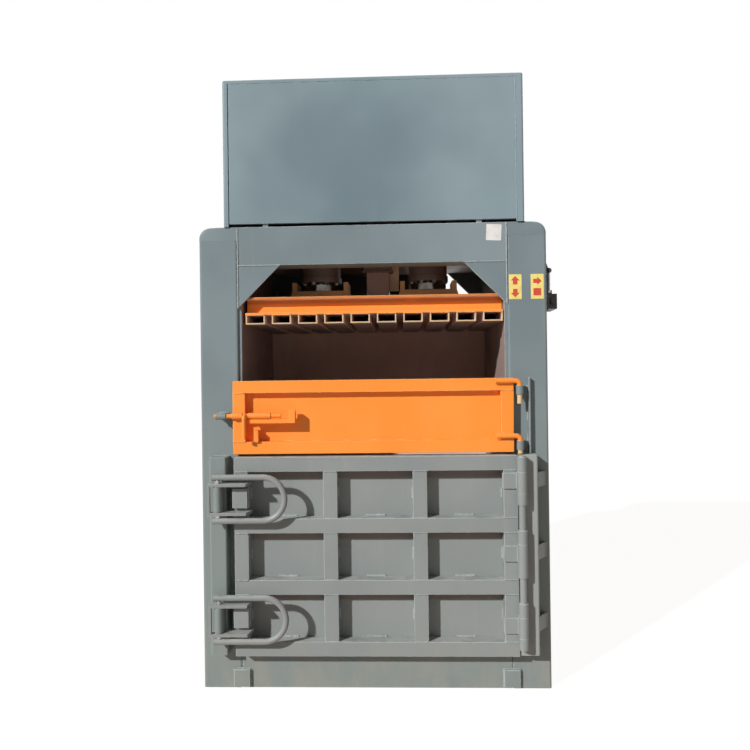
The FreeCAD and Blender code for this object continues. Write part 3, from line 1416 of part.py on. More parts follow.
# --- steel pipes: valve to shroud, tank to shroud, along the two barrels, and to the back ram
junctionRight = s.junctionLeft + s.junctionWidth
pipes = [block("junctionBlock", (s.junctionLeft, junctionRight), (pipeY - 35, pipeY + 35),
               (deckTop, s.frameTop + s.pipeOver * 2))]
for i, (x, z) in enumerate(pipeLines):
    pipes.append(run(f"valvePipe{i}", [
        (x, pipeY, s.valveTop), (x, pipeY, s.valveTop + s.pipeStraight),
        (s.shroudRight + 40 + 20 * i, pipeY, z), (junctionRight, pipeY, z)],
        s.pipeRadius, s.pipeBend))
crossY = s.ramY + s.barrelRadius + 90
crossLow = s.frameTop + 30
crossHigh = s.barrelTop - s.capThickness - 25
tankPipeY = tankFront + 70
for x, end in zip(supplyX, (crossLow + s.pipeRadius, crossHigh - s.pipeRadius)):
    pipes.append(run(f"supplyPipe{len(pipes)}", [
        (x, tankPipeY, s.tankTop), (x, tankPipeY, supplyZ), (x, crossY, supplyZ),
        (x, crossY, end)], s.pipeRadius, s.pipeBend * 0.8))
for i, z in enumerate((crossLow, crossHigh)):
    pipes.append(run(f"crossPipe{i}", [
        (-ramX, s.ramY + s.barrelRadius, z), (-ramX, crossY, z), (ramX, crossY, z),
        (ramX, s.ramY + s.barrelRadius, z)], s.pipeRadius, s.pipeBend))
ejectTail = backWallRear + s.ribDepth + s.ejectLength
ejectPorts = ((backWallRear + s.ribDepth + 70, tankFront + 100), (ejectTail - 90, tankBack - 100))
for i, (port, y) in enumerate(ejectPorts):
    x = s.tankRight - 110 - 60 * i
    pipes.append(run(f"ejectPipe{i}", [
        (x, y, s.tankFoot), (x, y, s.tankFoot - 260), (x + 60, port, s.ejectZ + 260),
        (0, port, s.ejectZ + 160), (0, port, s.ejectZ + s.ejectBarrel)],
        s.pipeRadius * 0.7, s.pipeBend))
node("hydraulic_pipes", group("hydraulicPipes", pipes))

# --- back ram and the plate that pushes the bale out
ejectFront = backWallRear
barrelProfile = [
    (s.ejectRod + s.ramFit, 0),
    (s.ejectFlange, 0),
    (s.ejectFlange, s.ejectFlangePlate),
    (s.ejectBarrel, s.ejectFlangePlate),
    (s.ejectBarrel, s.ejectLength + s.ribDepth),
    (0, s.ejectLength + s.ribDepth),
    (0, s.ejectLength + s.ribDepth - s.ejectCap),
    (s.ejectBore, s.ejectLength + s.ribDepth - s.ejectCap),
    (s.ejectBore, s.ejectCap),
    (s.ejectRod + s.ramFit, s.ejectCap),
]
node("eject_barrel", turned("ejectBarrelBody", barrelProfile, 0, ejectFront, s.ejectZ,
                            turnTo["Y"]))
pusherPlate = block("pusherPlate", (-s.ejectWidth / 2, s.ejectWidth / 2),
                    (s.chamberBack - s.ejectPlate - 0.3, s.chamberBack - 0.3),
                    (s.ejectZ - s.ejectHeight / 2, s.ejectZ + s.ejectHeight / 2))
pistonBack = ejectFront + s.ejectLength + s.ribDepth - s.ejectCap - 10
pusherRod = drum("pusherRod", s.ejectRod, pistonBack - s.chamberBack + s.ejectPlate / 2, "Y",
                 0, s.chamberBack - s.ejectPlate / 2, s.ejectZ)
pusherPiston = drum("pusherPiston", s.ejectBore - s.ramFit, 40, "Y", 0, pistonBack - 40, s.ejectZ)
node("bale_pusher", fuse("balePusher", pusherPlate, pusherRod, pusherPiston))

# --- check every object, then write each piece to its own file
doc.recompute()
for item in doc.Objects:
    if "Invalid" in item.State or "Error" in item.State:
        raise RuntimeError(f"{item.Name} failed: {item.State}")
for label, item in nodes.items():
    item.Label = label
    shape = item.Shape
    if shape.isNull() or not shape.isValid() or not shape.Solids:
        raise RuntimeError(f"{label} has no valid shape")
for label, item in nodes.items():
    item.Shape.exportStep(f"parts/{label}.step")
    box = item.Shape.BoundBox
    print(f"{label:22s} solids {len(item.Shape.Solids):3d}  volume {item.Shape.Volume / 1e6:9.3f} l"
          f"  x {box.XMin:7.1f} {box.XMax:7.1f}  y {box.YMin:7.1f} {box.YMax:7.1f}"
          f"  z {box.ZMin:7.1f} {box.ZMax:7.1f}")
print(len(nodes), "pieces")
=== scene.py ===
import bpy
import bmesh
import json
import math
from mathutils import Matrix, Vector


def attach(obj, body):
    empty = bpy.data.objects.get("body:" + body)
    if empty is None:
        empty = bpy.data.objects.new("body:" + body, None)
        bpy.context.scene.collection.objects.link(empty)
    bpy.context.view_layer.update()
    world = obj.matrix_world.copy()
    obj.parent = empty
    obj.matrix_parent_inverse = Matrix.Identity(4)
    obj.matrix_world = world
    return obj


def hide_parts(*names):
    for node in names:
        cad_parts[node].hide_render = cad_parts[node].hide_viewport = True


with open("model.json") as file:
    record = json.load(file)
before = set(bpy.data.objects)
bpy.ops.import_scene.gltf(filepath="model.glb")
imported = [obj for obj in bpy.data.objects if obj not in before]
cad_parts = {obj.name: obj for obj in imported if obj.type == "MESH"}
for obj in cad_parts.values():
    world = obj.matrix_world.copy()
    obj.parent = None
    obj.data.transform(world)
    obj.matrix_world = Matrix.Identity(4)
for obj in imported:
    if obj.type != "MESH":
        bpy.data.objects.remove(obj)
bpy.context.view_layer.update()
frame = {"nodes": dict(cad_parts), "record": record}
nodes = frame["nodes"]
bodyOfNode = {node: body for body, members in frame["record"]["behaviour"]["bodies"].items()
              for node in members}
slotOfNode = {part["node"]: part["material_slot"] for part in frame["record"]["subparts"]}
scene = bpy.context.scene

# camera, standing at chest height a little right of the machine's middle: its place in
# metres, its angles in radians, its lens and sensor in millimetres
cameraView = {"place": (0.1313, -3.6334, 1.3912), "yaw": -0.03795, "pitch": -0.0007,
              "roll": -0.01282, "lens": 34.32, "sensor": 36}
camera = bpy.data.cameras.new("viewer")
camera.lens = cameraView["lens"]
camera.sensor_width = cameraView["sensor"]
viewer = bpy.data.objects.new("viewer", camera)
scene.collection.objects.link(viewer)
yaw, pitch, roll = cameraView["yaw"], cameraView["pitch"], cameraView["roll"]
sideways = Vector((math.cos(yaw), -math.sin(yaw), 0))
level = Vector((math.sin(yaw), math.cos(yaw), 0))
ahead = level * math.cos(pitch) - Vector((0, 0, 1)) * math.sin(pitch)
upward = level * math.sin(pitch) + Vector((0, 0, 1)) * math.cos(pitch)
imageRight = sideways * math.cos(roll) + upward * math.sin(roll)
imageUp = upward * math.cos(roll) - sideways * math.sin(roll)
turn = Matrix((imageRight, imageUp, -ahead)).transposed()
viewer.matrix_world = Matrix.Translation(cameraView["place"]) @ turn.to_4x4()
scene.camera = viewer
scene.view_settings.view_transform = "Standard"
print("camera set")


def linear(code):
    # sRGB hex to the linear colour that the shaders take
    parts = [int(code[i:i + 2], 16) / 255 for i in (1, 3, 5)]
    return tuple(c / 12.92 if c <= 0.04045 else ((c + 0.055) / 1.055) ** 2.4
                 for c in parts) + (1.0,)


def addNode(tree, kind, links=None, **settings):
    # adds a node; links maps an input's name or number to a value or to another socket
    node = tree.nodes.new(kind)
    for key, value in settings.items():
        setattr(node, key, value)
    for key, value in (links or {}).items():
        if isinstance(value, bpy.types.NodeSocket):
            tree.links.new(value, node.inputs[key])
        else:
            node.inputs[key].default_value = value
    return node


def seenItself(tree):
    # 1 where a ray from the camera or off a glossy face meets it, 0 where it only lights
    path = addNode(tree, "ShaderNodeLightPath").outputs
    mirrored = addNode(tree, "ShaderNodeMath", {
        0: path["Is Glossy Ray"], 1: path["Is Transmission Ray"]}, operation="MAXIMUM")
    return addNode(tree, "ShaderNodeMath", {
        0: path["Is Camera Ray"], 1: mirrored.outputs[0]}, operation="MAXIMUM").outputs[0]


# world and lamps: an even pale surround, a soft key from the upper left and a wide, weak
# lamp behind, so that the back isn't black
studio = {"surround": 0.11, "background": "#FFFFFF", "floor": "#CDBDB2", "floorShare": 0.70,
          "floorGlow": 1.31, "floorX": (-40, 40), "floorY": (-12, 60), "floorZ": -0.001,
          "keyStrength": 3.45, "keyAngle": 2.0, "keyTravel": (0.89, 1.0, -0.70),
          "backStrength": 1.3, "backAngle": 50, "backTravel": (-0.5, -1.0, -0.55)}
world = bpy.data.worlds.new("studio")
scene.world = world
world.use_nodes = True
tree = world.node_tree
tree.nodes.clear()
lit = addNode(tree, "ShaderNodeBackground", {
    "Color": linear("#FFFFFF"), "Strength": studio["surround"]})
shown = addNode(tree, "ShaderNodeBackground", {
    "Color": linear(studio["background"]), "Strength": 1.0})
choice = addNode(tree, "ShaderNodeMixShader", {
    0: seenItself(tree), 1: lit.outputs[0], 2: shown.outputs[0]})
addNode(tree, "ShaderNodeOutputWorld", {0: choice.outputs[0]})

for lampName in ("key", "back"):
    lamp = bpy.data.lights.new(lampName + "Lamp", "SUN")
    lamp.energy = studio[lampName + "Strength"]
    lamp.angle = math.radians(studio[lampName + "Angle"])
    holder = bpy.data.objects.new(lampName + "Lamp", lamp)
    holder.rotation_mode = "QUATERNION"
    travel = Vector(studio[lampName + "Travel"])
    holder.rotation_quaternion = travel.to_track_quat("-Z", "Y")
    scene.collection.objects.link(holder)

floorMesh = bpy.data.meshes.new("studioFloor")
(west, east), (south, north) = studio["floorX"], studio["floorY"]
floorMesh.from_pydata([(x, y, studio["floorZ"]) for x, y in (
    (west, south), (east, south), (east, north), (west, north))], [], [(0, 1, 2, 3)])
studioFloor = bpy.data.objects.new("studioFloor", floorMesh)
scene.collection.objects.link(studioFloor)
floorPaint = bpy.data.materials.new("studioFloor")
floorPaint.use_nodes = True
tree = floorPaint.node_tree
tree.nodes.clear()
share = addNode(tree, "ShaderNodeMath", {0: seenItself(tree), 1: studio["floorShare"]},
                operation="MULTIPLY")
matt = addNode(tree, "ShaderNodeBsdfDiffuse", {"Color": linear(studio["floor"])})
glow = addNode(tree, "ShaderNodeEmission", {
    "Color": linear("#FFFFFF"), "Strength": studio["floorGlow"]})
mixed = addNode(tree, "ShaderNodeMixShader", {
    0: share.outputs[0], 1: matt.outputs[0], 2: glow.outputs[0]})
addNode(tree, "ShaderNodeOutputMaterial", {0: mixed.outputs[0]})
floorMesh.materials.append(floorPaint)
print("light and floor set")


def newMaterial(name):
    material = bpy.data.materials.new(name)
    material.use_nodes = True
    tree = material.node_tree
    tree.nodes.clear()
    shader = addNode(tree, "ShaderNodeBsdfPrincipled")
    addNode(tree, "ShaderNodeOutputMaterial", {0: shader.outputs[0]})
    return material, tree, shader


# what can lie on a base colour, from the bottom up: detail, roughness and upright stretch
# of its noise, the noise levels between which it fades in, and where it lies
layerShapes = (
    ("cloud", 3, 0.5, 1.0, (0.36, 0.64), "all"),
    ("ring", 4, 0.6, 12.0, (0.30, 0.70), "all"),
    ("grain", 4, 0.6, 1.0, (0.30, 0.70), "all"),
    ("haze", 3, 0.5, 1.0, (0.05, 0.55), "low"),
    # a painted sheen, lighter towards the right
    ("rightSheen", 3, 0.5, 1.0, (0.05, 0.50), "right"),
    # brown painted shade under the platen's top flange
    ("flangeShade", 3, 0.5, 1.0, (0.05, 0.45), "brow"),
    ("streak", 5, 0.6, 0.08, (0.52, 0.80), "all"),
    ("speck", 6, 0.65, 1.0, (0.64, 0.72), "all"),
    ("stain", 5, 0.6, 1.0, (0.50, 0.70), "all"),
    ("splash", 5, 0.65, 0.5, (0.38, 0.66), "foot"),
    ("dust", 5, 0.6, 1.0, (0.28, 0.62), "ledge"),
    ("rub", 5, 0.6, 1.0, (0.25, 0.55), "edge"),
    ("chip", 6, 0.7, 1.0, (0.60, 0.66), "edge"),
    # brown painted shade just under the door's rails
    ("railShade", 5, 0.6, 1.0, (0.20, 0.45), "under"),
)
# where a layer lies, other than all over or on the edges: what is measured, and the values
# at which the layer starts and is full; heights and widths are in metres
layerPlaces = {
    "low": ("height", 1.9, 0.4),        # thicker towards the floor
    "right": ("across", 0.0, 0.45),     # thicker towards the right
    "brow": ("height", 1.714, 1.728),   # under the platen's top flange
    "foot": ("height", 0.42, 0.0),      # on the lowest part
    "ledge": ("upward", 0.35, 0.95),    # on what faces up
    # where the door's painted shade lies
    "under": ("below", 0.049, 0.032),   # just under a rail of the door
}
doorRails = {"underside": 0.975, "pitch": 0.269}    # the top rail, and down to the next ones
# what all finishes share: the step from one layer's noise to the next, the noise of gloss
# and of relief, how much dust dulls, and the shine and IOR of paint
finishShape = {"shift": (1.3, 2.2, -1.0), "glossDetail": 4, "glossGrit": 0.6,
               "glossLevels": (0.3, 0.7), "reliefDetail": 2, "reliefGrit": 0.45,
               "dulling": 0.5, "shine": 0.5, "ior": 1.48}


def surface(name, look, edge=False):
    # one finish: layers over a base colour, then its gloss and its relief; a layer in look
    # is a colour, how much of it there is, and the size of its blotches in millimetres;
    # rough is the least and the most roughness and the size of its patches, and each relief
    # is the size of its waves, its strength and its depth
    material, tree, shader = newMaterial(name)
    coords = addNode(tree, "ShaderNodeTexCoord").outputs["Object"]
    along = addNode(tree, "ShaderNodeSeparateXYZ", {0: coords}).outputs
    normal = addNode(tree, "ShaderNodeNewGeometry").outputs["Normal"]
    direction = addNode(tree, "ShaderNodeSeparateXYZ", {0: normal}).outputs
    drop = addNode(tree, "ShaderNodeMath", {0: doorRails["underside"], 1: along["Z"]},
                   operation="SUBTRACT")
    railDrop = addNode(tree, "ShaderNodeMath", {0: drop.outputs[0], 1: doorRails["pitch"]},
                       operation="MODULO")
    measures = {"across": along["X"], "height": along["Z"], "upward": direction["Z"],
                "below": railDrop.outputs[0]}
    colour = linear(look["base"])
    covers = {}
    for number, (layer, detail, grit, upright, levels, place) in enumerate(layerShapes):
        if layer not in look or (place == "edge" and not edge):
            continue
        code, share, size = look[layer]
        spread = addNode(tree, "ShaderNodeMapping", {
            "Vector": coords, "Location": [step * number for step in finishShape["shift"]],
            "Scale": (1, 1, upright)})
        blotches = addNode(tree, "ShaderNodeTexNoise", {
            "Vector": spread.outputs[0], "Scale": 1000 / size, "Detail": detail,
            "Roughness": grit})
        covers[layer] = addNode(tree, "ShaderNodeMapRange", {
            "Value": blotches.outputs["Fac"], "From Min": levels[0], "From Max": levels[1],
            "To Max": share}, interpolation_type="SMOOTHSTEP").outputs[0]
        if place in layerPlaces:
            measure, start, full = layerPlaces[place]
            reach = addNode(tree, "ShaderNodeMapRange", {
                "Value": measures[measure], "From Min": start, "From Max": full},
                interpolation_type="SMOOTHSTEP")
            covers[layer] = addNode(tree, "ShaderNodeMath", {
                0: covers[layer], 1: reach.outputs[0]}, operation="MULTIPLY").outputs[0]
        colour = addNode(tree, "ShaderNodeMix", {
            0: covers[layer], 6: colour, 7: linear(code)}, data_type="RGBA").outputs[2]
    tree.links.new(colour, shader.inputs["Base Color"])

    smoothest, roughest, size = look["rough"]
    sheen = addNode(tree, "ShaderNodeTexNoise", {
        "Vector": coords, "Scale": 1000 / size, "Detail": finishShape["glossDetail"],
        "Roughness": finishShape["glossGrit"]})
    lowest, highest = finishShape["glossLevels"]
    rough = addNode(tree, "ShaderNodeMapRange", {
        "Value": sheen.outputs["Fac"], "From Min": lowest, "From Max": highest,
        "To Min": smoothest, "To Max": roughest}).outputs[0]
    if "dust" in covers:
        matted = addNode(tree, "ShaderNodeMath", {
            0: covers["dust"], 1: finishShape["dulling"]}, operation="MULTIPLY")
        rough = addNode(tree, "ShaderNodeMath", {0: rough, 1: matted.outputs[0]},
                        operation="ADD").outputs[0]
    tree.links.new(rough, shader.inputs["Roughness"])

    relief = None
    for size, strength, depth in look.get("relief", ()):
        waves = addNode(tree, "ShaderNodeTexNoise", {
            "Vector": coords, "Scale": 1000 / size, "Detail": finishShape["reliefDetail"],
            "Roughness": finishShape["reliefGrit"]})
        relief = addNode(tree, "ShaderNodeBump", {
            "Height": waves.outputs["Fac"], "Strength": strength, "Distance": depth / 1000,
            **({"Normal": relief} if relief else {})}).outputs[0]
    if relief:
        tree.links.new(relief, shader.inputs["Normal"])
    shader.inputs["Metallic"].default_value = look.get("metallic", 0.0)
    shader.inputs["Specular IOR Level"].default_value = look.get("shine", finishShape["shine"])
    if not look.get("metallic"):
        shader.inputs["IOR"].default_value = look.get("ior", finishShape["ior"])
    return material


# alkyd machine enamel over hot-rolled plate: mid grey, half gloss, slightly wavy with the
# plate, greyed and warmed by dust towards the floor; orange peel is drawn at 4 mm to show
machineGrey = {
    "base": "#748287", "cloud": ("#7C8A8F", 1.0, 420), "haze": ("#89918C", 0.85, 700),
    "streak": ("#9C9F9B", 0.22, 60), "speck": ("#B4B8B6", 0.30, 9),
    "splash": ("#A59E90", 0.35, 110), "dust": ("#A9ABA5", 0.70, 70),
    "rub": ("#BCC4C4", 0.85, 55), "chip": ("#6A5F58", 0.35, 16),
    "rough": (0.40, 0.58, 160), "shine": 0.35, "relief": ((210, 0.10, 20), (4, 0.10, 1))}
# the same on the head beam, with a painted sheen that grows lighter towards the right
beamGrey = dict(machineGrey, rightSheen=("#9BAAB0", 0.38, 500))
# the same enamel on the door, sanded by use and a little warmer
doorGrey = dict(machineGrey, base="#8A9090", cloud=("#919694", 1.0, 420),
                haze=("#8F9490", 0.30, 700), streak=("#A8A7A1", 0.22, 60),
                dust=("#B4B6B0", 0.75, 70), relief=((210, 0.08, 20), (4, 0.10, 1)))
# the same on the door's plate, with brown painted shade just under each rail
plateGrey = dict(doorGrey, railShade=("#786B65", 0.85, 70))
# the same on the hinge post, a paler grey
postGrey = dict(doorGrey, base="#989D9B", cloud=("#A0A5A2", 1.0, 300))
# the same on the faces that bales rub: scored upright and stained
scuffedGrey = dict(doorGrey, base="#868A88", streak=("#A9A49C", 0.75, 45),
                   stain=("#7E6A60", 0.55, 130), rough=(0.50, 0.72, 120))
# the same enamel on the latches, hinges and posts, polished by hands and gloves
latchGrey = dict(doorGrey, base="#858A8A", cloud=("#8F9190", 1.0, 180),
                 streak=("#A9A8A5", 0.30, 60), rub=("#C6C8C5", 0.9, 55),
                 rough=(0.34, 0.50, 120), shine=0.45)
# thin sheet of the shroud in a bluer batch, with soft dents that catch the light, and a
# painted sheen that grows lighter towards the right
sheetGrey = {
    "base": "#6D8088", "cloud": ("#84989F", 1.0, 820),
    "rightSheen": ("#9AABB2", 0.36, 600), "streak": ("#93A3AA", 0.15, 90),
    "speck": ("#B4B8B6", 0.12, 9), "dust": ("#9EA29E", 0.85, 90),
    "rub": ("#C2CCCE", 0.85, 55), "chip": ("#6A5F58", 0.30, 16),
    "rough": (0.40, 0.52, 200), "shine": 0.35, "relief": ((420, 0.12, 30), (4, 0.08, 1))}
# orange enamel in one thick coat: strong colour, half gloss
gateOrange = {
    "base": "#FF9538", "cloud": ("#FF9C40", 1.0, 500), "streak": ("#F2A661", 0.14, 60),
    "speck": ("#DD853A", 0.25, 9), "dust": ("#D9A26A", 0.45, 70),
    "rub": ("#FFC07C", 0.75, 55), "chip": ("#7A5238", 0.45, 16),
    "rough": (0.38, 0.52, 160), "shine": 0.35, "relief": ((260, 0.08, 20), (4, 0.10, 1))}
# the same orange on the platen, with brown painted shade under its top flange
platenOrange = dict(gateOrange, flangeShade=("#A86238", 0.60, 200))
# the same orange under cement-coloured dust, on the platen's channels and yokes
dustyOrange = dict(gateOrange, base="#E2BF8E", cloud=("#D6BC98", 1.0, 120),
                   streak=("#CDBBA0", 0.45, 60), dust=("#C9B8A4", 0.9, 70),
                   rub=("#F2D8AE", 0.9, 55), rough=(0.55, 0.75, 90), shine=0.2)
# the yokes under cream-coloured cardboard dust, painted paler still as painted light
creamDustAndLight = dict(dustyOrange, base="#F4D2A0", cloud=("#EBCFA6", 1.0, 120),
                 streak=("#E2CDB0", 0.40, 60))
# black enamel of the rams, tank and valve, filmed with oil and grey dust
ramBlack = {
    "base": "#33302E", "cloud": ("#3D3936", 1.0, 300), "streak": ("#544D47", 0.30, 60),
    "speck": ("#5A534D", 0.30, 9), "dust": ("#857A6E", 0.75, 70),
    "rub": ("#66605B", 0.6, 55), "chip": ("#8A8078", 0.40, 16),
    "rough": (0.35, 0.55, 120), "shine": 0.4, "relief": ((4, 0.10, 1),)}
# the rams' black under a film of cardboard dust
dustyBlack = dict(ramBlack, base="#6C6463", cloud=("#78706E", 1.0, 300),
                  streak=("#8B827D", 0.30, 60))
# plate inside the chamber: mill scale and rust, scoured by bales, dull brown all over
chamberRust = {
    "base": "#9C8780", "cloud": ("#A69088", 1.0, 260), "streak": ("#B6A195", 0.45, 60),
    "speck": ("#CDB6A1", 0.35, 9), "dust": ("#B49C8A", 0.60, 70),
    "rub": ("#C0A696", 0.4, 55), "chip": ("#5A4238", 0.4, 16),
    "rough": (0.60, 0.80, 120), "shine": 0.2, "relief": ((30, 0.15, 2), (3, 0.20, 0.6))}
# the back of the chamber: the same rust, painted paler as painted light
rustWithPaintedLight = dict(chamberRust, base="#DDBEB3", cloud=("#E3C8BC", 1.0, 260),
                   streak=("#E6D3C8", 0.45, 60))
# the guide post, its grease grey-brown with dust, and the steel strip it slides on,
# wiped clean and painted near white as painted light
greasyPlate = dict(ramBlack, base="#A89791", cloud=("#AE9D96", 1.0, 200),
                   streak=("#B8A79D", 0.35, 60))
stripWearAndLight = dict(doorGrey, base="#F6EBD6", cloud=("#EADFC9", 1.0, 90),
                 haze=("#F6EBD6", 0, 90), streak=("#CBBFA9", 0.4, 40),
                 rub=("#FFF8E6", 0.9, 55))
paints = {}
for finish, look in (
        ("greyEnamel", machineGrey), ("greyEnamelBeam", beamGrey),
        ("greyEnamelDoor", doorGrey), ("greyEnamelRailShaded", plateGrey),
        ("greyEnamelPost", postGrey), ("greyEnamelScuffed", scuffedGrey),
        ("greyEnamelRubbed", latchGrey), ("blueGreyEnamel", sheetGrey),
        ("orangeEnamel", gateOrange), ("orangeEnamelFlangeShade", platenOrange),
        ("orangeEnamelDusty", dustyOrange), ("creamDustAndLight", creamDustAndLight),
        ("blackEnamel", ramBlack), ("blackEnamelDusty", dustyBlack),
        ("rustyPlate", chamberRust), ("paleRustPaintedLight", rustWithPaintedLight),
        ("greasedPlate", greasyPlate), ("steelStripWearAndLight", stripWearAndLight)):
    paints[finish] = surface(finish, look), surface(finish + "Edge", look, edge=True)

# hard chrome on the rods, darkened as a painted reflection: smooth, with fine grinding rings
rodChrome = surface("hardChromeDarkReflection", {
    "base": "#77716C", "ring": ("#5F5A55", 1.0, 3), "stain": ("#3E3732", 0.5, 45),
    "metallic": 1.0, "rough": (0.12, 0.26, 20)})
# turned mild steel of pins and bolts: bright grey, dulled by handling
turnedSteel = surface("turnedMildSteel", {
    "base": "#B9B9B7", "grain": ("#A3A19D", 1.0, 5), "stain": ("#75675C", 0.5, 30),
    "metallic": 0.9, "rough": (0.32, 0.50, 12), "relief": ((2, 0.15, 0.3),)})
# the same steel on the rams' flange bolts, darker
darkSteel = surface("darkMildSteel", {
    "base": "#827F7A", "grain": ("#6F6A65", 1.0, 5), "stain": ("#453C35", 0.6, 30),
    "metallic": 0.9, "rough": (0.35, 0.55, 12)})
# weld metal brushed with the same paint: ripples catch more light than the plate
weldMetal = {}
for tone, base, crest in (("grey", "#929A99", "#A9B0AE"), ("orange", "#FF9D48", "#FFB066")):
    weldMetal[tone] = surface(tone + "PaintedWeld", {
        "base": base, "grain": (crest, 1.0, 8), "stain": ("#6B6059", 0.30, 25),
        "rough": (0.40, 0.60, 8), "shine": 0.5})
# moulded phenolic of the lever knobs: deep black, polished by the hand
knobBlack = surface("phenolicKnob", {
    "base": "#161514", "grain": ("#1D1B1A", 1.0, 12), "stain": ("#4A443E", 0.3, 30),
    "rough": (0.18, 0.30, 20), "ior": 1.6})
# acrylic of the tank's level gauge with amber oil behind it: smooth and clear, drawn solid
sightGlass = surface("acrylicSightGlass", {
    "base": "#8C6A2E", "grain": ("#9A7738", 1.0, 40), "dust": ("#A9ABA5", 0.3, 70),
    "rough": (0.06, 0.14, 60), "ior": 1.49})
print("materials made")


def tidyPiece(mesh, name, body):
    piece = bpy.data.objects.new(name, mesh)
    scene.collection.objects.link(piece)
    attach(piece, body)
    return piece


def frozen(source, name):
    # the evaluated object as a plain mesh
    bpy.context.view_layer.update()
    shown = source.evaluated_get(bpy.context.evaluated_depsgraph_get())
    mesh = bpy.data.meshes.new_from_object(shown)
    mesh.name = name
    return mesh


# merging in metres, angles in degrees: what counts as one flat face, and as an edge to round
softening = {"merge": 0.00002, "flat": 1.0, "edge": 38, "segments": 2, "weight": 90,
             "threshold": 0.02}


def softened(node, radius, pair, areas=(), cuts=()):
    # the node's plates with edges rounded by radius millimetres; each area is a test on a
    # face and the paint pair it gets, and every pair is one face slot and one edge slot;
    # faces are divided at the planes in cuts, so that an area can end there
    source = nodes[node]
    mesh = source.data.copy()
    mesh.materials.clear()
    for finish in (pair, *(finish for _, finish in areas)):
        for material in finish:
            mesh.materials.append(material)
    shape = bmesh.new()
    shape.from_mesh(mesh)
    bmesh.ops.remove_doubles(shape, verts=shape.verts, dist=softening["merge"])
    bmesh.ops.dissolve_limit(shape, angle_limit=math.radians(softening["flat"]),
                             verts=shape.verts, edges=shape.edges, delimit={"NORMAL"})
    for axis, place in cuts:
        across = Vector((axis == "X", axis == "Y", axis == "Z"))
        bmesh.ops.bisect_plane(shape, geom=[*shape.verts, *shape.edges, *shape.faces],
                               plane_co=across * place, plane_no=across)
    for face in shape.faces:
        face.smooth = True
        face.material_index = 0
        for number, (test, _) in enumerate(areas, start=1):
            if test(face.calc_center_median(), face.normal):
                face.material_index = number * 2
    shape.to_mesh(mesh)
    shape.free()
    if "custom_normal" in mesh.attributes:
        mesh.attributes.remove(mesh.attributes["custom_normal"])
    work = bpy.data.objects.new(node + "Work", mesh)
    scene.collection.objects.link(work)
    bevel = work.modifiers.new("edges", "BEVEL")
    bevel.width = radius / 1000
    bevel.segments = softening["segments"]
    bevel.limit_method = "ANGLE"
    bevel.angle_limit = math.radians(softening["edge"])
    bevel.material = 1
    flat = work.modifiers.new("flat", "WEIGHTED_NORMAL")
    flat.weight = softening["weight"]
    flat.thresh = softening["threshold"]
    final = frozen(work, node + "Soft")
    for face in final.polygons:
        if face.material_index == 1:
            for number, (test, _) in enumerate(areas, start=1):
                if test(face.center, face.normal):
                    face.material_index = number * 2 + 1
    bpy.data.objects.remove(work)
    piece = tidyPiece(final, node + "_soft", bodyOfNode[node])
    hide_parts(node)


# where one paint gives way to another, in metres
limits = {"chamberMiddle": 0.2, "backWall": 0.335, "channelFoot": 1.629, "stripSide": 0.074,
          "lowerSleeve": 1.061, "betweenSleeves": 1.20, "upperSleeve": 1.301,
          "gaugeFace": 0.8125, "gaugeTop": 1.97, "knobFoot": 1.866}
squarely = 0.9    # how nearly a face has to look one way
halfway = 0.5


def looksDown(middle, normal):
    return normal.z < -squarely


def looksUp(middle, normal):
    return normal.z > squarely


def looksBack(middle, normal):
    return normal.y > squarely


def inChamber(middle, normal):
    # faces of the walls that look into the chamber
    if abs(normal.x) > squarely:
        return normal.x * middle.x < 0 and middle.y < limits["backWall"]
    return normal.y < -squarely and middle.y > limits["chamberMiddle"]


def behindFront(middle, normal):
    return normal.y > -halfway


def underChannel(middle, normal):
    return normal.z < -halfway and middle.z < limits["channelFoot"]


def onStrip(middle, normal):
    return middle.x > limits["stripSide"]


def belowSleeve(middle, normal):
    return (middle.z < limits["lowerSleeve"]
            or limits["betweenSleeves"] < middle.z < limits["upperSleeve"])


def onGauge(middle, normal):
    return middle.y > limits["gaugeFace"] and middle.z < limits["gaugeTop"]


def onShaft(middle, normal):
    return middle.z < limits["knobFoot"]


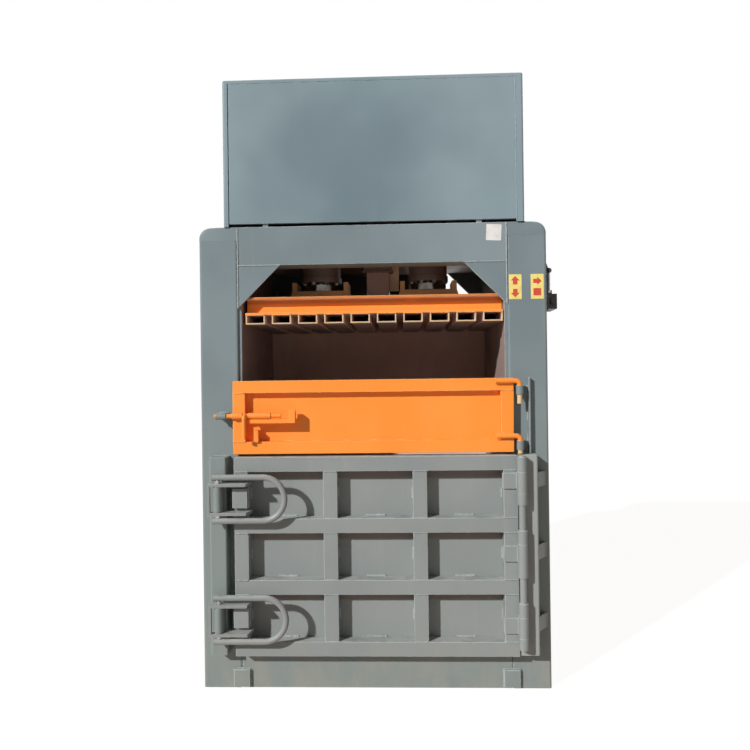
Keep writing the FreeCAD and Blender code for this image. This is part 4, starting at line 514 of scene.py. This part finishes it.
# how far each node's edges are rounded, in millimetres, and its paint
edgeRadii = {
    "left_column": (1.2, "greyEnamel"), "right_column": (1.2, "greyEnamel"),
    "rear_columns": (1.2, "greyEnamel"), "head_beam": (2.0, "greyEnamelBeam"),
    "rear_beam": (2.0, "greyEnamel"), "corner_gussets": (2.0, "greyEnamel"),
    "side_wall_ribs": (1.5, "greyEnamel"), "back_wall_ribs": (1.5, "greyEnamel"),
    "lower_side_panels": (2.0, "greyEnamel"), "base_beams": (2.5, "greyEnamel"),
    "guide_collar": (1.5, "blackEnamelDusty"), "latch_post": (1.5, "greyEnamel"),
    "hinge_post": (1.5, "greyEnamelPost"), "door_hinge_pin": (1.2, "greyEnamelDoor"),
    "gate_hinge_sleeves": (1.2, "greyEnamel"), "gate_stop_bar": (1.5, "greyEnamel"),
    "bolt_receiver": (1.2, "greyEnamel"), "shroud": (0.8, "blueGreyEnamel"),
    "shroud_front": (0.9, "blueGreyEnamel"), "left_barrel": (2.0, "blackEnamelDusty"),
    "right_barrel": (2.0, "blackEnamelDusty"), "cylinder_glands": (2.0, "blackEnamelDusty"),
    "hand_valve": (1.0, "blackEnamel"), "tank_bracket": (2.0, "greyEnamel"),
    # the yokes' cream is partly painted light
    "eject_barrel": (1.5, "blackEnamel"), "rod_yokes": (2.0, "creamDustAndLight"),
    "door_rails": (1.8, "greyEnamelDoor"), "door_stiles": (1.8, "greyEnamelDoor"),
    "door_hinge_straps": (1.5, "greyEnamelDoor"), "claw_keepers": (2.0, "greyEnamelDoor"),
    "upper_claw": (1.5, "greyEnamelRubbed"), "lower_claw": (1.5, "greyEnamelRubbed"),
    "gate_frame": (1.5, "orangeEnamel"), "bolt_guides": (1.0, "orangeEnamel"),
    "gate_peg": (1.5, "orangeEnamel"), "bolt_collar": (1.0, "orangeEnamel"),
    "bale_pusher": (2.0, "rustyPlate"),
}
for node, (radius, paint) in edgeRadii.items():
    softened(node, radius, paints[paint])
# plates with more than one paint: radius, main paint, each area's test and paint, and cuts
manyPaints = {
    "left_side_wall": (1.5, "greyEnamel", [(inChamber, "rustyPlate")],
                       [("Y", limits["backWall"])]),
    "right_side_wall": (1.5, "greyEnamel", [(inChamber, "rustyPlate")],
                        [("Y", limits["backWall"])]),
    # the back wall's inner face: rust painted paler as painted light
    "back_wall": (1.5, "greyEnamel", [(inChamber, "paleRustPaintedLight")], []),
    "ram_deck": (1.5, "greyEnamel", [(looksDown, "greasedPlate")], []),
    "chamber_floor": (1.5, "greyEnamel", [(looksUp, "rustyPlate")], []),
    # cardboard dust has coloured only the channels' front ends
    # their other faces: rust painted paler as painted light, their undersides plain rust
    "platen_channels": (1.0, "orangeEnamelDusty", [(behindFront, "paleRustPaintedLight"),
                                                   (underChannel, "rustyPlate")], []),
    # painted shade under its top flange, and paler rust with painted light on its undersides
    "platen_frame": (1.5, "orangeEnamelFlangeShade", [(looksDown, "paleRustPaintedLight")], []),
    "floor_channels": (1.0, "rustyPlate", [], []),
    # the strip on the guide post is painted near white as painted light
    "guide_post": (1.2, "greasedPlate", [(onStrip, "steelStripWearAndLight")], []),
    # the door's and the gate's inner faces
    "door_plate": (1.5, "greyEnamelRailShaded", [(looksBack, "greyEnamelScuffed")], []),
    "gate_panel": (1.0, "orangeEnamel", [(looksBack, "orangeEnamelFlangeShade")], []),
    # the hinge rods' free ends are rubbed through below their sleeves
    "gate_hinge_rods": (0.8, "orangeEnamel", [(belowSleeve, "orangeEnamelDusty")],
                        [("Z", limits["lowerSleeve"]), ("Z", limits["upperSleeve"])]),
    "oil_tank": (1.5, "blackEnamel", [(onGauge, "sightGlass")], []),
    "platen_lever": (0.5, "phenolicKnob", [(onShaft, "turnedSteel")], []),
    "eject_lever": (0.5, "phenolicKnob", [(onShaft, "turnedSteel")], []),
}
paints["sightGlass"] = sightGlass, sightGlass
paints["phenolicKnob"] = knobBlack, knobBlack
paints["turnedSteel"] = turnedSteel, turnedSteel
for node, (radius, paint, areas, cuts) in manyPaints.items():
    softened(node, radius, paints[paint], [(test, paints[name]) for test, name in areas],
             cuts)
print("plates softened")

plainFinish = {
    "upper_handle": paints["greyEnamelRubbed"][0], "latch_pins": turnedSteel,
    "lower_handle": paints["greyEnamelRubbed"][0], "left_rod": rodChrome,
    "gate_bolt": paints["orangeEnamel"][0], "right_rod": rodChrome,
    "hydraulic_pipes": paints["blackEnamel"][0], "pump_motor": paints["blueGreyEnamel"][0],
}
for node, material in plainFinish.items():
    mesh = nodes[node].data
    mesh.materials.clear()
    mesh.materials.append(material)
print("round pieces finished")


def newTree(name, sockets):
    group = bpy.data.node_groups.new(name, "GeometryNodeTree")
    for label, kind in (("Geometry", "Geometry"), *sockets):
        group.interface.new_socket(label, in_out="INPUT", socket_type="NodeSocket" + kind)
    group.interface.new_socket("Geometry", in_out="OUTPUT",
                               socket_type="NodeSocketGeometry")
    return group, addNode(group, "NodeGroupInput").outputs


def finishTree(group, geometry, material):
    # every tree ends the same way: real geometry with its material
    made = addNode(group, "GeometryNodeRealizeInstances", {0: geometry})
    shaded = addNode(group, "GeometryNodeSetMaterial", {
        "Geometry": made.outputs[0], "Material": material})
    addNode(group, "NodeGroupOutput", {0: shaded.outputs[0]})


def grown(group, mesh, name, body, slot, **values):
    # runs a tree on a mesh and keeps the result as a plain piece
    work = bpy.data.objects.new(name + "Work", mesh)
    scene.collection.objects.link(work)
    modifier = work.modifiers.new(group.name, "NODES")
    modifier.node_group = group
    for socket in group.interface.items_tree:
        if socket.in_out == "INPUT" and socket.name in values:
            modifier[socket.identifier] = values[socket.name]
    final = frozen(work, name)
    bpy.data.objects.remove(work)
    tidyPiece(final, name, body)


# weld beads: rippled strings of metal that follow the seams; radii, ripples and how far a
# bead wanders from its seam are in metres, and the radii vary from thinnest to thickest
weldLook = {"seam": 0.0036, "tack": 0.0058, "ripple": 0.0055, "paintBead": 0.0030,
            "paintRipple": 0.008, "thinnest": 0.72, "thickest": 1.12, "wander": 0.0005,
            "sides": 6}
weldTree, given = newTree("weldBead", (
    ("Size", "Float"), ("Ripple", "Float"), ("Seed", "Int"), ("Material", "Material")))
seams = addNode(weldTree, "GeometryNodeMeshToCurve", {"Mesh": given["Geometry"]})
even = addNode(weldTree, "GeometryNodeResampleCurve", {
    "Curve": seams.outputs[0], "Length": given["Ripple"]}, mode="LENGTH")
widths = addNode(weldTree, "FunctionNodeRandomValue", {
    2: weldLook["thinnest"], 3: weldLook["thickest"], "Seed": given["Seed"]},
    data_type="FLOAT")
bead = addNode(weldTree, "ShaderNodeMath", {
    0: widths.outputs[1], 1: given["Size"]}, operation="MULTIPLY")
wander = addNode(weldTree, "FunctionNodeRandomValue", {
    0: [-weldLook["wander"]] * 3, 1: [weldLook["wander"]] * 3, "Seed": given["Seed"]},
    data_type="FLOAT_VECTOR")
placed = addNode(weldTree, "GeometryNodeSetPosition", {
    "Geometry": even.outputs[0], "Offset": wander.outputs[0]})
ring = addNode(weldTree, "GeometryNodeCurvePrimitiveCircle", {
    "Resolution": weldLook["sides"], "Radius": 1.0})
string = addNode(weldTree, "GeometryNodeCurveToMesh", {
    "Curve": placed.outputs[0], "Profile Curve": ring.outputs[0],
    "Scale": bead.outputs[0], "Fill Caps": True})
smooth = addNode(weldTree, "GeometryNodeSetShadeSmooth", {"Geometry": string.outputs[0]})
finishTree(weldTree, smooth.outputs[0], given["Material"])


def lineMesh(name, lines):
    # straight seams in millimetres, each a start and an end, as loose edges in metres
    points = [Vector(point) / 1000 for line in lines for point in line]
    edges = [(2 * i, 2 * i + 1) for i in range(len(lines))]
    mesh = bpy.data.meshes.new(name)
    mesh.from_pydata(points, edges, [])
    return mesh


def seam(x, y, z, stitch=None):
    # a seam in millimetres along the axis whose place is a pair, whole or in short welds
    # that are spaced evenly
    ends = [place if isinstance(place, tuple) else (place, place) for place in (x, y, z)]
    start, end = (Vector(corner) for corner in zip(*ends))
    if not stitch:
        return [(start, end)]
    count, length = stitch
    along = (end - start).normalized() * length / 2
    middles = [start.lerp(end, (i + 0.5) / count) for i in range(count)]
    return [(middle - along, middle + along) for middle in middles]


def around(y, left, right, low, high):
    # the four sides of an upright rectangle
    return [*seam(left, y, (low, high)), *seam((left, right), y, high),
            *seam(right, y, (high, low)), *seam((right, left), y, low)]


# how many short welds a seam has, and how long each is in millimetres
stitchLook = {"rib": (4, 60), "panel": (7, 60), "backRib": (6, 60), "post": (6, 85),
              "stopBar": (3, 50), "tankRail": (2, 50), "pocketFoot": (1, 85),
              "pocketTop": (1, 60), "pocketSide": (1, 50), "gatePanel": (9, 45)}

# where plates meet, in millimetres, as the CAD has them: first the frame's
front, back, wall, inside, outside = -450, 450, 600, 588, 775
# a gusset's depth, side, foot and top, and the height and end of its level seam
gussets = ((front, wall, 1701, 2060, 1891, 410), (back, inside, 1774, 2062, 1964, 398))
# the joint plates at the base beam's ends
plateHalf, plateFoot, plateTop = 36, 8, 86
# their worn welds: two corners' lengths, and two short pieces' starts and ends
leftCorner, rightCorner, topPiece, sidePiece = 12, 10, (30, 44), (22, 34)
ribLevels, ribHeight = (190, 560, 930, 1300, 1670), 100
ribEnds, ribSides, rearRib = (-330, 340), (602, 678), 420
panelTop, panelEnds, panelSeam = 1130, (-338, 348), (60, 1110)
posts, postSeam, postTop = ((-721, -646), (632, 712)), (180, 1035), 1040
braceLevels, braceHeight, braceEnds = (272.5, 583.5, 898), 64, ((712, -512), (757, front))
stopBar, stopBarSeam = 684, (1050, 1370)
sleeveLevels, sleeveHeight, sleeveSides = (1061, 1301), 40, (634, 648)
receiverSides, receiverEdges = (-690, -648), (1206, 1234)
webMiddles, webHalf, webSides = (864, 343), 54, (-664, -654)
railLevels, railSeams = (1362, 1478), ((-770, -605), (605, 770))
frameSeams, frameTacks = [], []
for side in (-1, 1):
    for depth, edge, foot, top, height, end in gussets:
        frameSeams += seam(edge * side, depth, (foot, top))
        frameSeams += seam((edge * side, end * side), depth, height)
    left, right = wall * side - plateHalf, wall * side + plateHalf
    frameSeams += around(front, left, right, plateFoot, plateTop)[:3]
    frameTacks += seam(left, front, (plateTop - leftCorner, plateTop))
    frameTacks += seam(tuple(left + x for x in topPiece), front, plateTop)
    frameTacks += seam(right, front, tuple(plateFoot + z for z in sidePiece))
    frameTacks += seam(right, front, (plateTop - rightCorner, plateTop))
    for level in ribLevels:
        for height in (level, level + ribHeight):
            frameSeams += seam(wall * side, ribEnds, height, stitchLook["rib"])
            if level > panelTop:
                for depth in ribEnds:
                    frameSeams += seam(tuple(x * side for x in ribSides), depth, height)
    for depth in panelEnds:
        frameSeams += seam(outside * side, depth, panelSeam, stitchLook["panel"])
for level in ribLevels:
    for height in (level, level + ribHeight):
        frameSeams += seam((-inside, inside), ribEnds[1], height, stitchLook["backRib"])
    for x in (-inside, inside):
        frameSeams += seam(x, rearRib, (level, level + ribHeight))
for post in posts:
    for edge in post:
        frameSeams += seam(edge, front, postSeam, stitchLook["post"])
for post in posts:
    frameSeams += seam(post, front, postTop)
for level in braceLevels:
    for x, y in braceEnds:
        frameSeams += seam(x, y, (level, level + braceHeight))
frameSeams += seam(stopBar, front, stopBarSeam, stitchLook["stopBar"])
for level in sleeveLevels:
    for x in sleeveSides:
        frameSeams += seam(x, front, (level, level + sleeveHeight))
for height in receiverEdges:
    frameSeams += seam(receiverSides, front, height)
for middle in webMiddles:
    for x in webSides:
        frameSeams += seam(x, front, (middle - webHalf, middle + webHalf))
for height in railLevels:
    for rail in railSeams:
        frameSeams += seam(rail, back, height, stitchLook["tankRail"])

# the door's: each stile's edges and front face, and each row of pockets' foot and top
stiles = ((-612, -550, -525), (-220.3, -158.3, -522), (171.3, 233.3, -522), (563, 625, -525))
rows, barSides, plateFace, inset = ((232, 437), (501, 706), (770, 975)), (-490, -521), -461, 2
doorFront, strapMiddles, strapHalf, strapSides = -525, (930, 615.5, 304.5), 32, (560, 629)
keeperMiddles, keeperHalf, keeperSides = (864, 343), 42.5, (-613.5, -548.5)
doorSeams, doorTacks = [], []
for left, right, y in stiles:
    for row in rows:
        for height in row:
            doorSeams += seam((left + inset, right - inset), y, height)
for row in rows:
    for before, after in zip(stiles, stiles[1:]):
        pocket = before[1], after[0]
        doorTacks += seam(pocket, plateFace, row[0] + inset, stitchLook["pocketFoot"])
        doorTacks += seam(pocket, plateFace, row[1], stitchLook["pocketTop"])
        for edge in pocket:
            doorTacks += seam(edge, plateFace, row, stitchLook["pocketSide"])
            for height in row:
                doorSeams += seam(edge, barSides, height)
for middle in strapMiddles:
    doorSeams += around(doorFront, *strapSides, middle - strapHalf, middle + strapHalf)[:2]
    doorSeams += seam(strapSides, doorFront, middle - strapHalf)
for middle in keeperMiddles:
    doorSeams += around(doorFront, *keeperSides, middle - keeperHalf, middle + keeperHalf)

# the gate's: bars, panel, hinge rods, peg and bolt carrier
gateFront, gateLevels, uprights = -493, (1104, 1320), ((-620, -566), (561, 615))
panelFace, panelSides = -458, (-560, 555)
rods, rodSides = ((1350, 1372), (1110, 1132)), (538, 604)
peg, carrier = ((-523, -505), -481, 1105), ((-540, -345), -459, 1188)
gateSeams = []
for left, right in uprights:
    for height in gateLevels:
        gateSeams += seam((left + inset, right - inset), gateFront, height)
for height in gateLevels:
    gateSeams += seam(panelSides, panelFace, height, stitchLook["gatePanel"])
for low, high in rods:
    for height in (low + inset, high - inset):
        gateSeams += seam(rodSides, gateFront, height)
gateSeams += seam(*peg) + seam(*carrier)

# the platen's: under each channel's front end, and before each yoke
channelCount, firstChannel, channelPitch, channelWeld = 10, -570.3, 118.4, (2, 85)
platenFront, channelFoot = -435, 1670
yokeMiddles, yokeHalf, yokeFront, yokeFoot = (-265, 265), 150, -140, 1750
platenSeams = []
for i in range(channelCount):
    left = firstChannel + channelPitch * i
    platenSeams += seam(tuple(left + x for x in channelWeld), platenFront, channelFoot)
for middle in yokeMiddles:
    platenSeams += seam((middle + yokeHalf, middle - yokeHalf), yokeFront, yokeFoot)

for name, lines, size, body, slot, tone, seed in (
        ("frame_welds", frameSeams, "seam", "frame", "frame_paint", "grey", 3),
        ("frame_tacks", frameTacks, "tack", "frame", "frame_paint", "grey", 4),
        ("door_welds", doorSeams, "seam", "door", "door_paint", "grey", 5),
        ("door_tacks", doorTacks, "tack", "door", "door_paint", "grey", 6),
        ("gate_welds", gateSeams, "seam", "gate", "orange_paint", "orange", 7),
        ("platen_welds", platenSeams, "seam", "platen", "orange_paint", "orange", 9)):
    grown(weldTree, lineMesh(name + "Lines", lines), name, body, slot,
          Size=weldLook[size], Ripple=weldLook["ripple"], Seed=seed,
          Material=weldMetal[tone])
# the shroud's front sheet is closed along its top and right with a painted bead
sheetFace, sheetTop, sheetEnds = -456.5, 2706, (-632, 643)
sheetRight, sheetSide = 646, (2066, 2704)
sheetSeams = seam(sheetEnds, sheetFace, sheetTop) + seam(sheetRight, sheetFace, sheetSide)
grown(weldTree, lineMesh("shroudSeam", sheetSeams), "shroud_seam", "frame",
      slotOfNode["shroud"], Size=weldLook["paintBead"], Ripple=weldLook["paintRipple"],
      Seed=8, Material=paints["blueGreyEnamel"][0])
print("welds laid")

# hexagon bolts, each on a point that knows which way its head faces: sizes as shares of the
# width over flats, thicknesses in metres, and the most a head is turned in radians
boltLook = {"corners": 0.577, "crown": 0.50, "washer": 0.85, "washerThick": 0.004,
            "washerSides": 16, "crownHigh": 0.0015, "crownSides": 12, "turn": 6.28}
boltTree, given = newTree("hexBolts", (
    ("Width", "Float"), ("Head", "Float"), ("Seed", "Int"), ("Material", "Material")))
headSize, crownSize, washerSize = (
    addNode(boltTree, "ShaderNodeMath", {0: given["Width"], 1: boltLook[part]},
            operation="MULTIPLY").outputs[0] for part in ("corners", "crown", "washer"))
washer = addNode(boltTree, "GeometryNodeMeshCylinder", {
    "Vertices": boltLook["washerSides"], "Radius": washerSize,
    "Depth": boltLook["washerThick"]})
head = addNode(boltTree, "GeometryNodeMeshCylinder", {
    "Vertices": 6, "Radius": headSize, "Depth": given["Head"]})
lift = addNode(boltTree, "ShaderNodeMath", {0: given["Head"], 1: 0.5}, operation="MULTIPLY")
liftTo = addNode(boltTree, "ShaderNodeCombineXYZ", {"Z": lift.outputs[0]})
headUp = addNode(boltTree, "GeometryNodeTransform", {
    "Geometry": head.outputs[0], "Translation": liftTo.outputs[0]})
crown = addNode(boltTree, "GeometryNodeMeshCone", {
    "Vertices": boltLook["crownSides"], "Radius Top": crownSize, "Radius Bottom": headSize,
    "Depth": boltLook["crownHigh"]})
crownTo = addNode(boltTree, "ShaderNodeCombineXYZ", {"Z": given["Head"]})
crownUp = addNode(boltTree, "GeometryNodeTransform", {
    "Geometry": crown.outputs[0], "Translation": crownTo.outputs[0]})
bolt = addNode(boltTree, "GeometryNodeJoinGeometry")
for part in (washer, headUp, crownUp):
    boltTree.links.new(part.outputs[0], bolt.inputs[0])
facing = addNode(boltTree, "GeometryNodeInputNamedAttribute", {"Name": "facing"},
                 data_type="FLOAT_VECTOR")
aim = addNode(boltTree, "FunctionNodeAlignRotationToVector", {"Vector": facing.outputs[0]},
              axis="Z")
spin = addNode(boltTree, "FunctionNodeRandomValue", {
    2: 0.0, 3: boltLook["turn"], "Seed": given["Seed"]}, data_type="FLOAT")
spinTo = addNode(boltTree, "ShaderNodeCombineXYZ", {"Z": spin.outputs[1]})
turned = addNode(boltTree, "FunctionNodeRotateRotation", {
    0: aim.outputs[0], 1: spinTo.outputs[0]}, rotation_space="LOCAL")
spots = addNode(boltTree, "GeometryNodeInstanceOnPoints", {
    "Points": given["Geometry"], "Instance": bolt.outputs[0], "Rotation": turned.outputs[0]})
finishTree(boltTree, spots.outputs[0], given["Material"])


def pointMesh(name, spots):
    mesh = bpy.data.meshes.new(name)
    mesh.from_pydata([Vector(place) / 1000 for place, _ in spots], [], [])
    axes = mesh.attributes.new("facing", "FLOAT_VECTOR", "POINT")
    for number, (_, axis) in enumerate(spots):
        axes.data[number].vector = axis
    return mesh


def circleSpots(middle, radius, count, axis):
    # bolt places on a circle about an axis along y or z
    spots = []
    for i in range(count):
        angle = (i + 0.5) / count * math.tau
        a, b = radius * math.cos(angle), radius * math.sin(angle)
        spots.append((Vector(middle) + Vector((a, 0, b) if axis.y else (a, b, 0)), axis))
    return spots


up, down, right, rear = (Vector(way) for way in ((0, 0, 1), (0, 0, -1), (1, 0, 0), (0, 1, 0)))
# the rams' flange bolts: middle and radius of the circle in millimetres, count and facing
flangeBolts = (((-265, -60, 1850), 84, 8, down), ((265, -60, 1850), 84, 8, down),
               ((0, 356, 425), 68, 6, rear))
largeBolts = [spot for circle in flangeBolts for spot in circleSpots(*circle)]
# bolts of the tank's lid and of the hand valve's plate
lidTop, lidRows, lidPlaces = 1985, (468, 797), range(-550, 181, 104)
valveFace, valveSides, valveHeights = 779, (-400, -145), (1690, 1765)
smallBolts = [((x, y, lidTop), up) for x in lidPlaces for y in lidRows]
smallBolts += [((valveFace, y, z), right) for y in valveSides for z in valveHeights]
# union nuts where the steel pipes enter the valve, the junction block, the tank and the ram
valveUnions = [((x, -146, 1760), up) for x in (802, 834)]
pipeUnions = [((540, -146, 2093), right), ((540, -146, 2125), right), ((93, 532, lidTop), up),
              ((125, 532, lidTop), up), ((75, 562, 1480), down), ((15, 702, 1480), down),
              ((0, 490, 472), up), ((0, 890, 472), up)]
# width over flats and height of each kind in metres
for name, spots, width, height, seed, metal in (
        ("large_bolts", largeBolts, 0.024, 0.010, 2, darkSteel),
        ("small_bolts", smallBolts, 0.013, 0.006, 4, turnedSteel),
        ("valve_unions", valveUnions, 0.0215, 0.018, 6, turnedSteel),
        ("pipe_unions", pipeUnions, 0.028, 0.018, 6, turnedSteel)):
    grown(boltTree, pointMesh(name + "Spots", spots), name, "frame", "bare_steel",
          Width=width, Head=height, Seed=seed, Material=metal)
print("bolts set")


def flatPlate(name, outline, y, thick, material, tilt=0.0):
    # a thin plate on the frame, in millimetres: its outline lies in x and z, and it stands
    # thick in front of the plane y
    shape = bmesh.new()
    ring = [shape.verts.new((x / 1000, y / 1000, z / 1000)) for x, z in outline]
    face = shape.faces.new(ring)
    lifted = bmesh.ops.extrude_face_region(shape, geom=[face])["geom"]
    for vert in [item for item in lifted if isinstance(item, bmesh.types.BMVert)]:
        vert.co.y -= thick / 1000
    if tilt:
        middle = sum((vert.co for vert in ring), Vector()) / len(ring)
        bmesh.ops.rotate(shape, verts=shape.verts, cent=middle,
                         matrix=Matrix.Rotation(math.radians(tilt), 3, "Y"))
    bmesh.ops.recalc_face_normals(shape, faces=shape.faces)
    mesh = bpy.data.meshes.new(name)
    shape.to_mesh(mesh)
    shape.free()
    mesh.materials.append(material)
    return tidyPiece(mesh, name, "frame")


def roundedRectangle(left, right, low, high, radius, steps=4):
    outline = []
    for x, z, start in (
            (right - radius, high - radius, 0), (left + radius, high - radius, 90),
            (left + radius, low + radius, 180), (right - radius, low + radius, 270)):
        for i in range(steps + 1):
            angle = math.radians(start + 90 * i / steps)
            outline.append((x + radius * math.cos(angle), z + radius * math.sin(angle)))
    return outline


# caps on the front columns, flush with the head beam and rounded only at the outside; they
# stand a hair proud of the columns
capLook = {"foot": 2004, "top": 2064.3, "inside": 600, "outside": 775.3, "back": -329.7,
           "deep": 120.6, "radius": 50, "steps": 16, "bend": 12, "bendSteps": 4,
           "rimFront": -0.45, "rimSide": 0.72, "sharp": 30}
arc = []
for i in range(capLook["steps"] + 1):
    angle = math.radians(90 * i / capLook["steps"])
    arc.append((capLook["outside"] - capLook["radius"] * (1 - math.sin(angle)),
                capLook["top"] - capLook["radius"] * (1 - math.cos(angle))))
for side, name in ((-1, "left_column_cap"), (1, "right_column_cap")):
    outline = [(side * x, z) for x, z in (
        (capLook["inside"], capLook["foot"]), (capLook["inside"], capLook["top"]), *arc,
        (capLook["outside"], capLook["foot"]))]
    cap = flatPlate(name, outline, capLook["back"], capLook["deep"],
                    paints["greyEnamel"][0])
    shape = bmesh.new()
    shape.from_mesh(cap.data)
    rim = [edge for edge in shape.edges
           if all(vert.co.y < capLook["rimFront"] and abs(vert.co.x) > capLook["rimSide"]
                  for vert in edge.verts)]
    bmesh.ops.bevel(shape, geom=rim, offset=capLook["bend"] / 1000,
                    segments=capLook["bendSteps"], profile=0.5, affect="EDGES")
    for face in shape.faces:
        face.smooth = True
    shape.to_mesh(cap.data)
    shape.free()
    cap.data.set_sharp_from_angle(angle=math.radians(capLook["sharp"]))


def vinylFilm(name, code, soiled, smoothest):
    # printed vinyl film: smooth and even, a little greyed by dust
    return surface(name, {"base": code, "grain": (soiled, 1.0, 35),
                          "stain": ("#8B8578", 0.2, 45), "ior": 1.5,
                          "rough": (smoothest, smoothest + 0.13, 60)})


labelYellow = vinylFilm("yellowVinyl", "#F8E58A", "#EFDB7C", 0.28)
labelRed = vinylFilm("redVinylInk", "#D8452F", "#C9503A", 0.30)
labelWhite = vinylFilm("whiteVinyl", "#ECEBE8", "#DEDCD8", 0.30)
# labels on the right column and a blank sticker on the head beam, in millimetres
labelLook = {"face": -450, "film": 0.8, "ink": 0.3, "levels": (1721, 1831), "corner": 3,
             "liftSides": (608, 664), "pushSides": (704, 761), "liftMiddle": 636,
             "pushMiddle": 732.5, "long": 0.8, "wide": 0.9, "liftHeight": 1797,
             "lowerHeight": 1755, "pushHeight": 1800, "blockHeight": 1752, "pushLeft": 6}
stickerLook = {"sides": (511, 578), "levels": (1983, 2055), "corner": 4, "film": 0.6,
               "tilt": 3}
for kind in ("lift", "push"):
    outline = roundedRectangle(*labelLook[kind + "Sides"], *labelLook["levels"],
                               labelLook["corner"])
    flatPlate(kind + "_label", outline, labelLook["face"], labelLook["film"], labelYellow)
arrow = [(-10, 8), (-10, -14), (10, -14), (10, 8), (20, 8), (0, 32), (-20, 8)]
block = [(-17, -16), (17, -16), (17, 16), (-17, 16)]
lift, push = labelLook["liftMiddle"], labelLook["pushMiddle"]
long, wide = labelLook["long"], labelLook["wide"]
for name, outline in (
        ("lift_arrow", [(lift + x, labelLook["liftHeight"] + z * long) for x, z in arrow]),
        ("lower_arrow", [(lift + x, labelLook["lowerHeight"] - z * long) for x, z in arrow]),
        ("push_arrow", [(push + z * long - labelLook["pushLeft"],
                         labelLook["pushHeight"] + x * wide) for x, z in arrow]),
        ("push_block", [(push + x, labelLook["blockHeight"] + z) for x, z in block])):
    flatPlate(name, outline, labelLook["face"] - labelLook["film"], labelLook["ink"],
              labelRed)
outline = roundedRectangle(*stickerLook["sides"], *stickerLook["levels"],
                           stickerLook["corner"])
flatPlate("blank_sticker", outline, labelLook["face"], stickerLook["film"], labelWhite,
          tilt=stickerLook["tilt"])
print("labels placed")
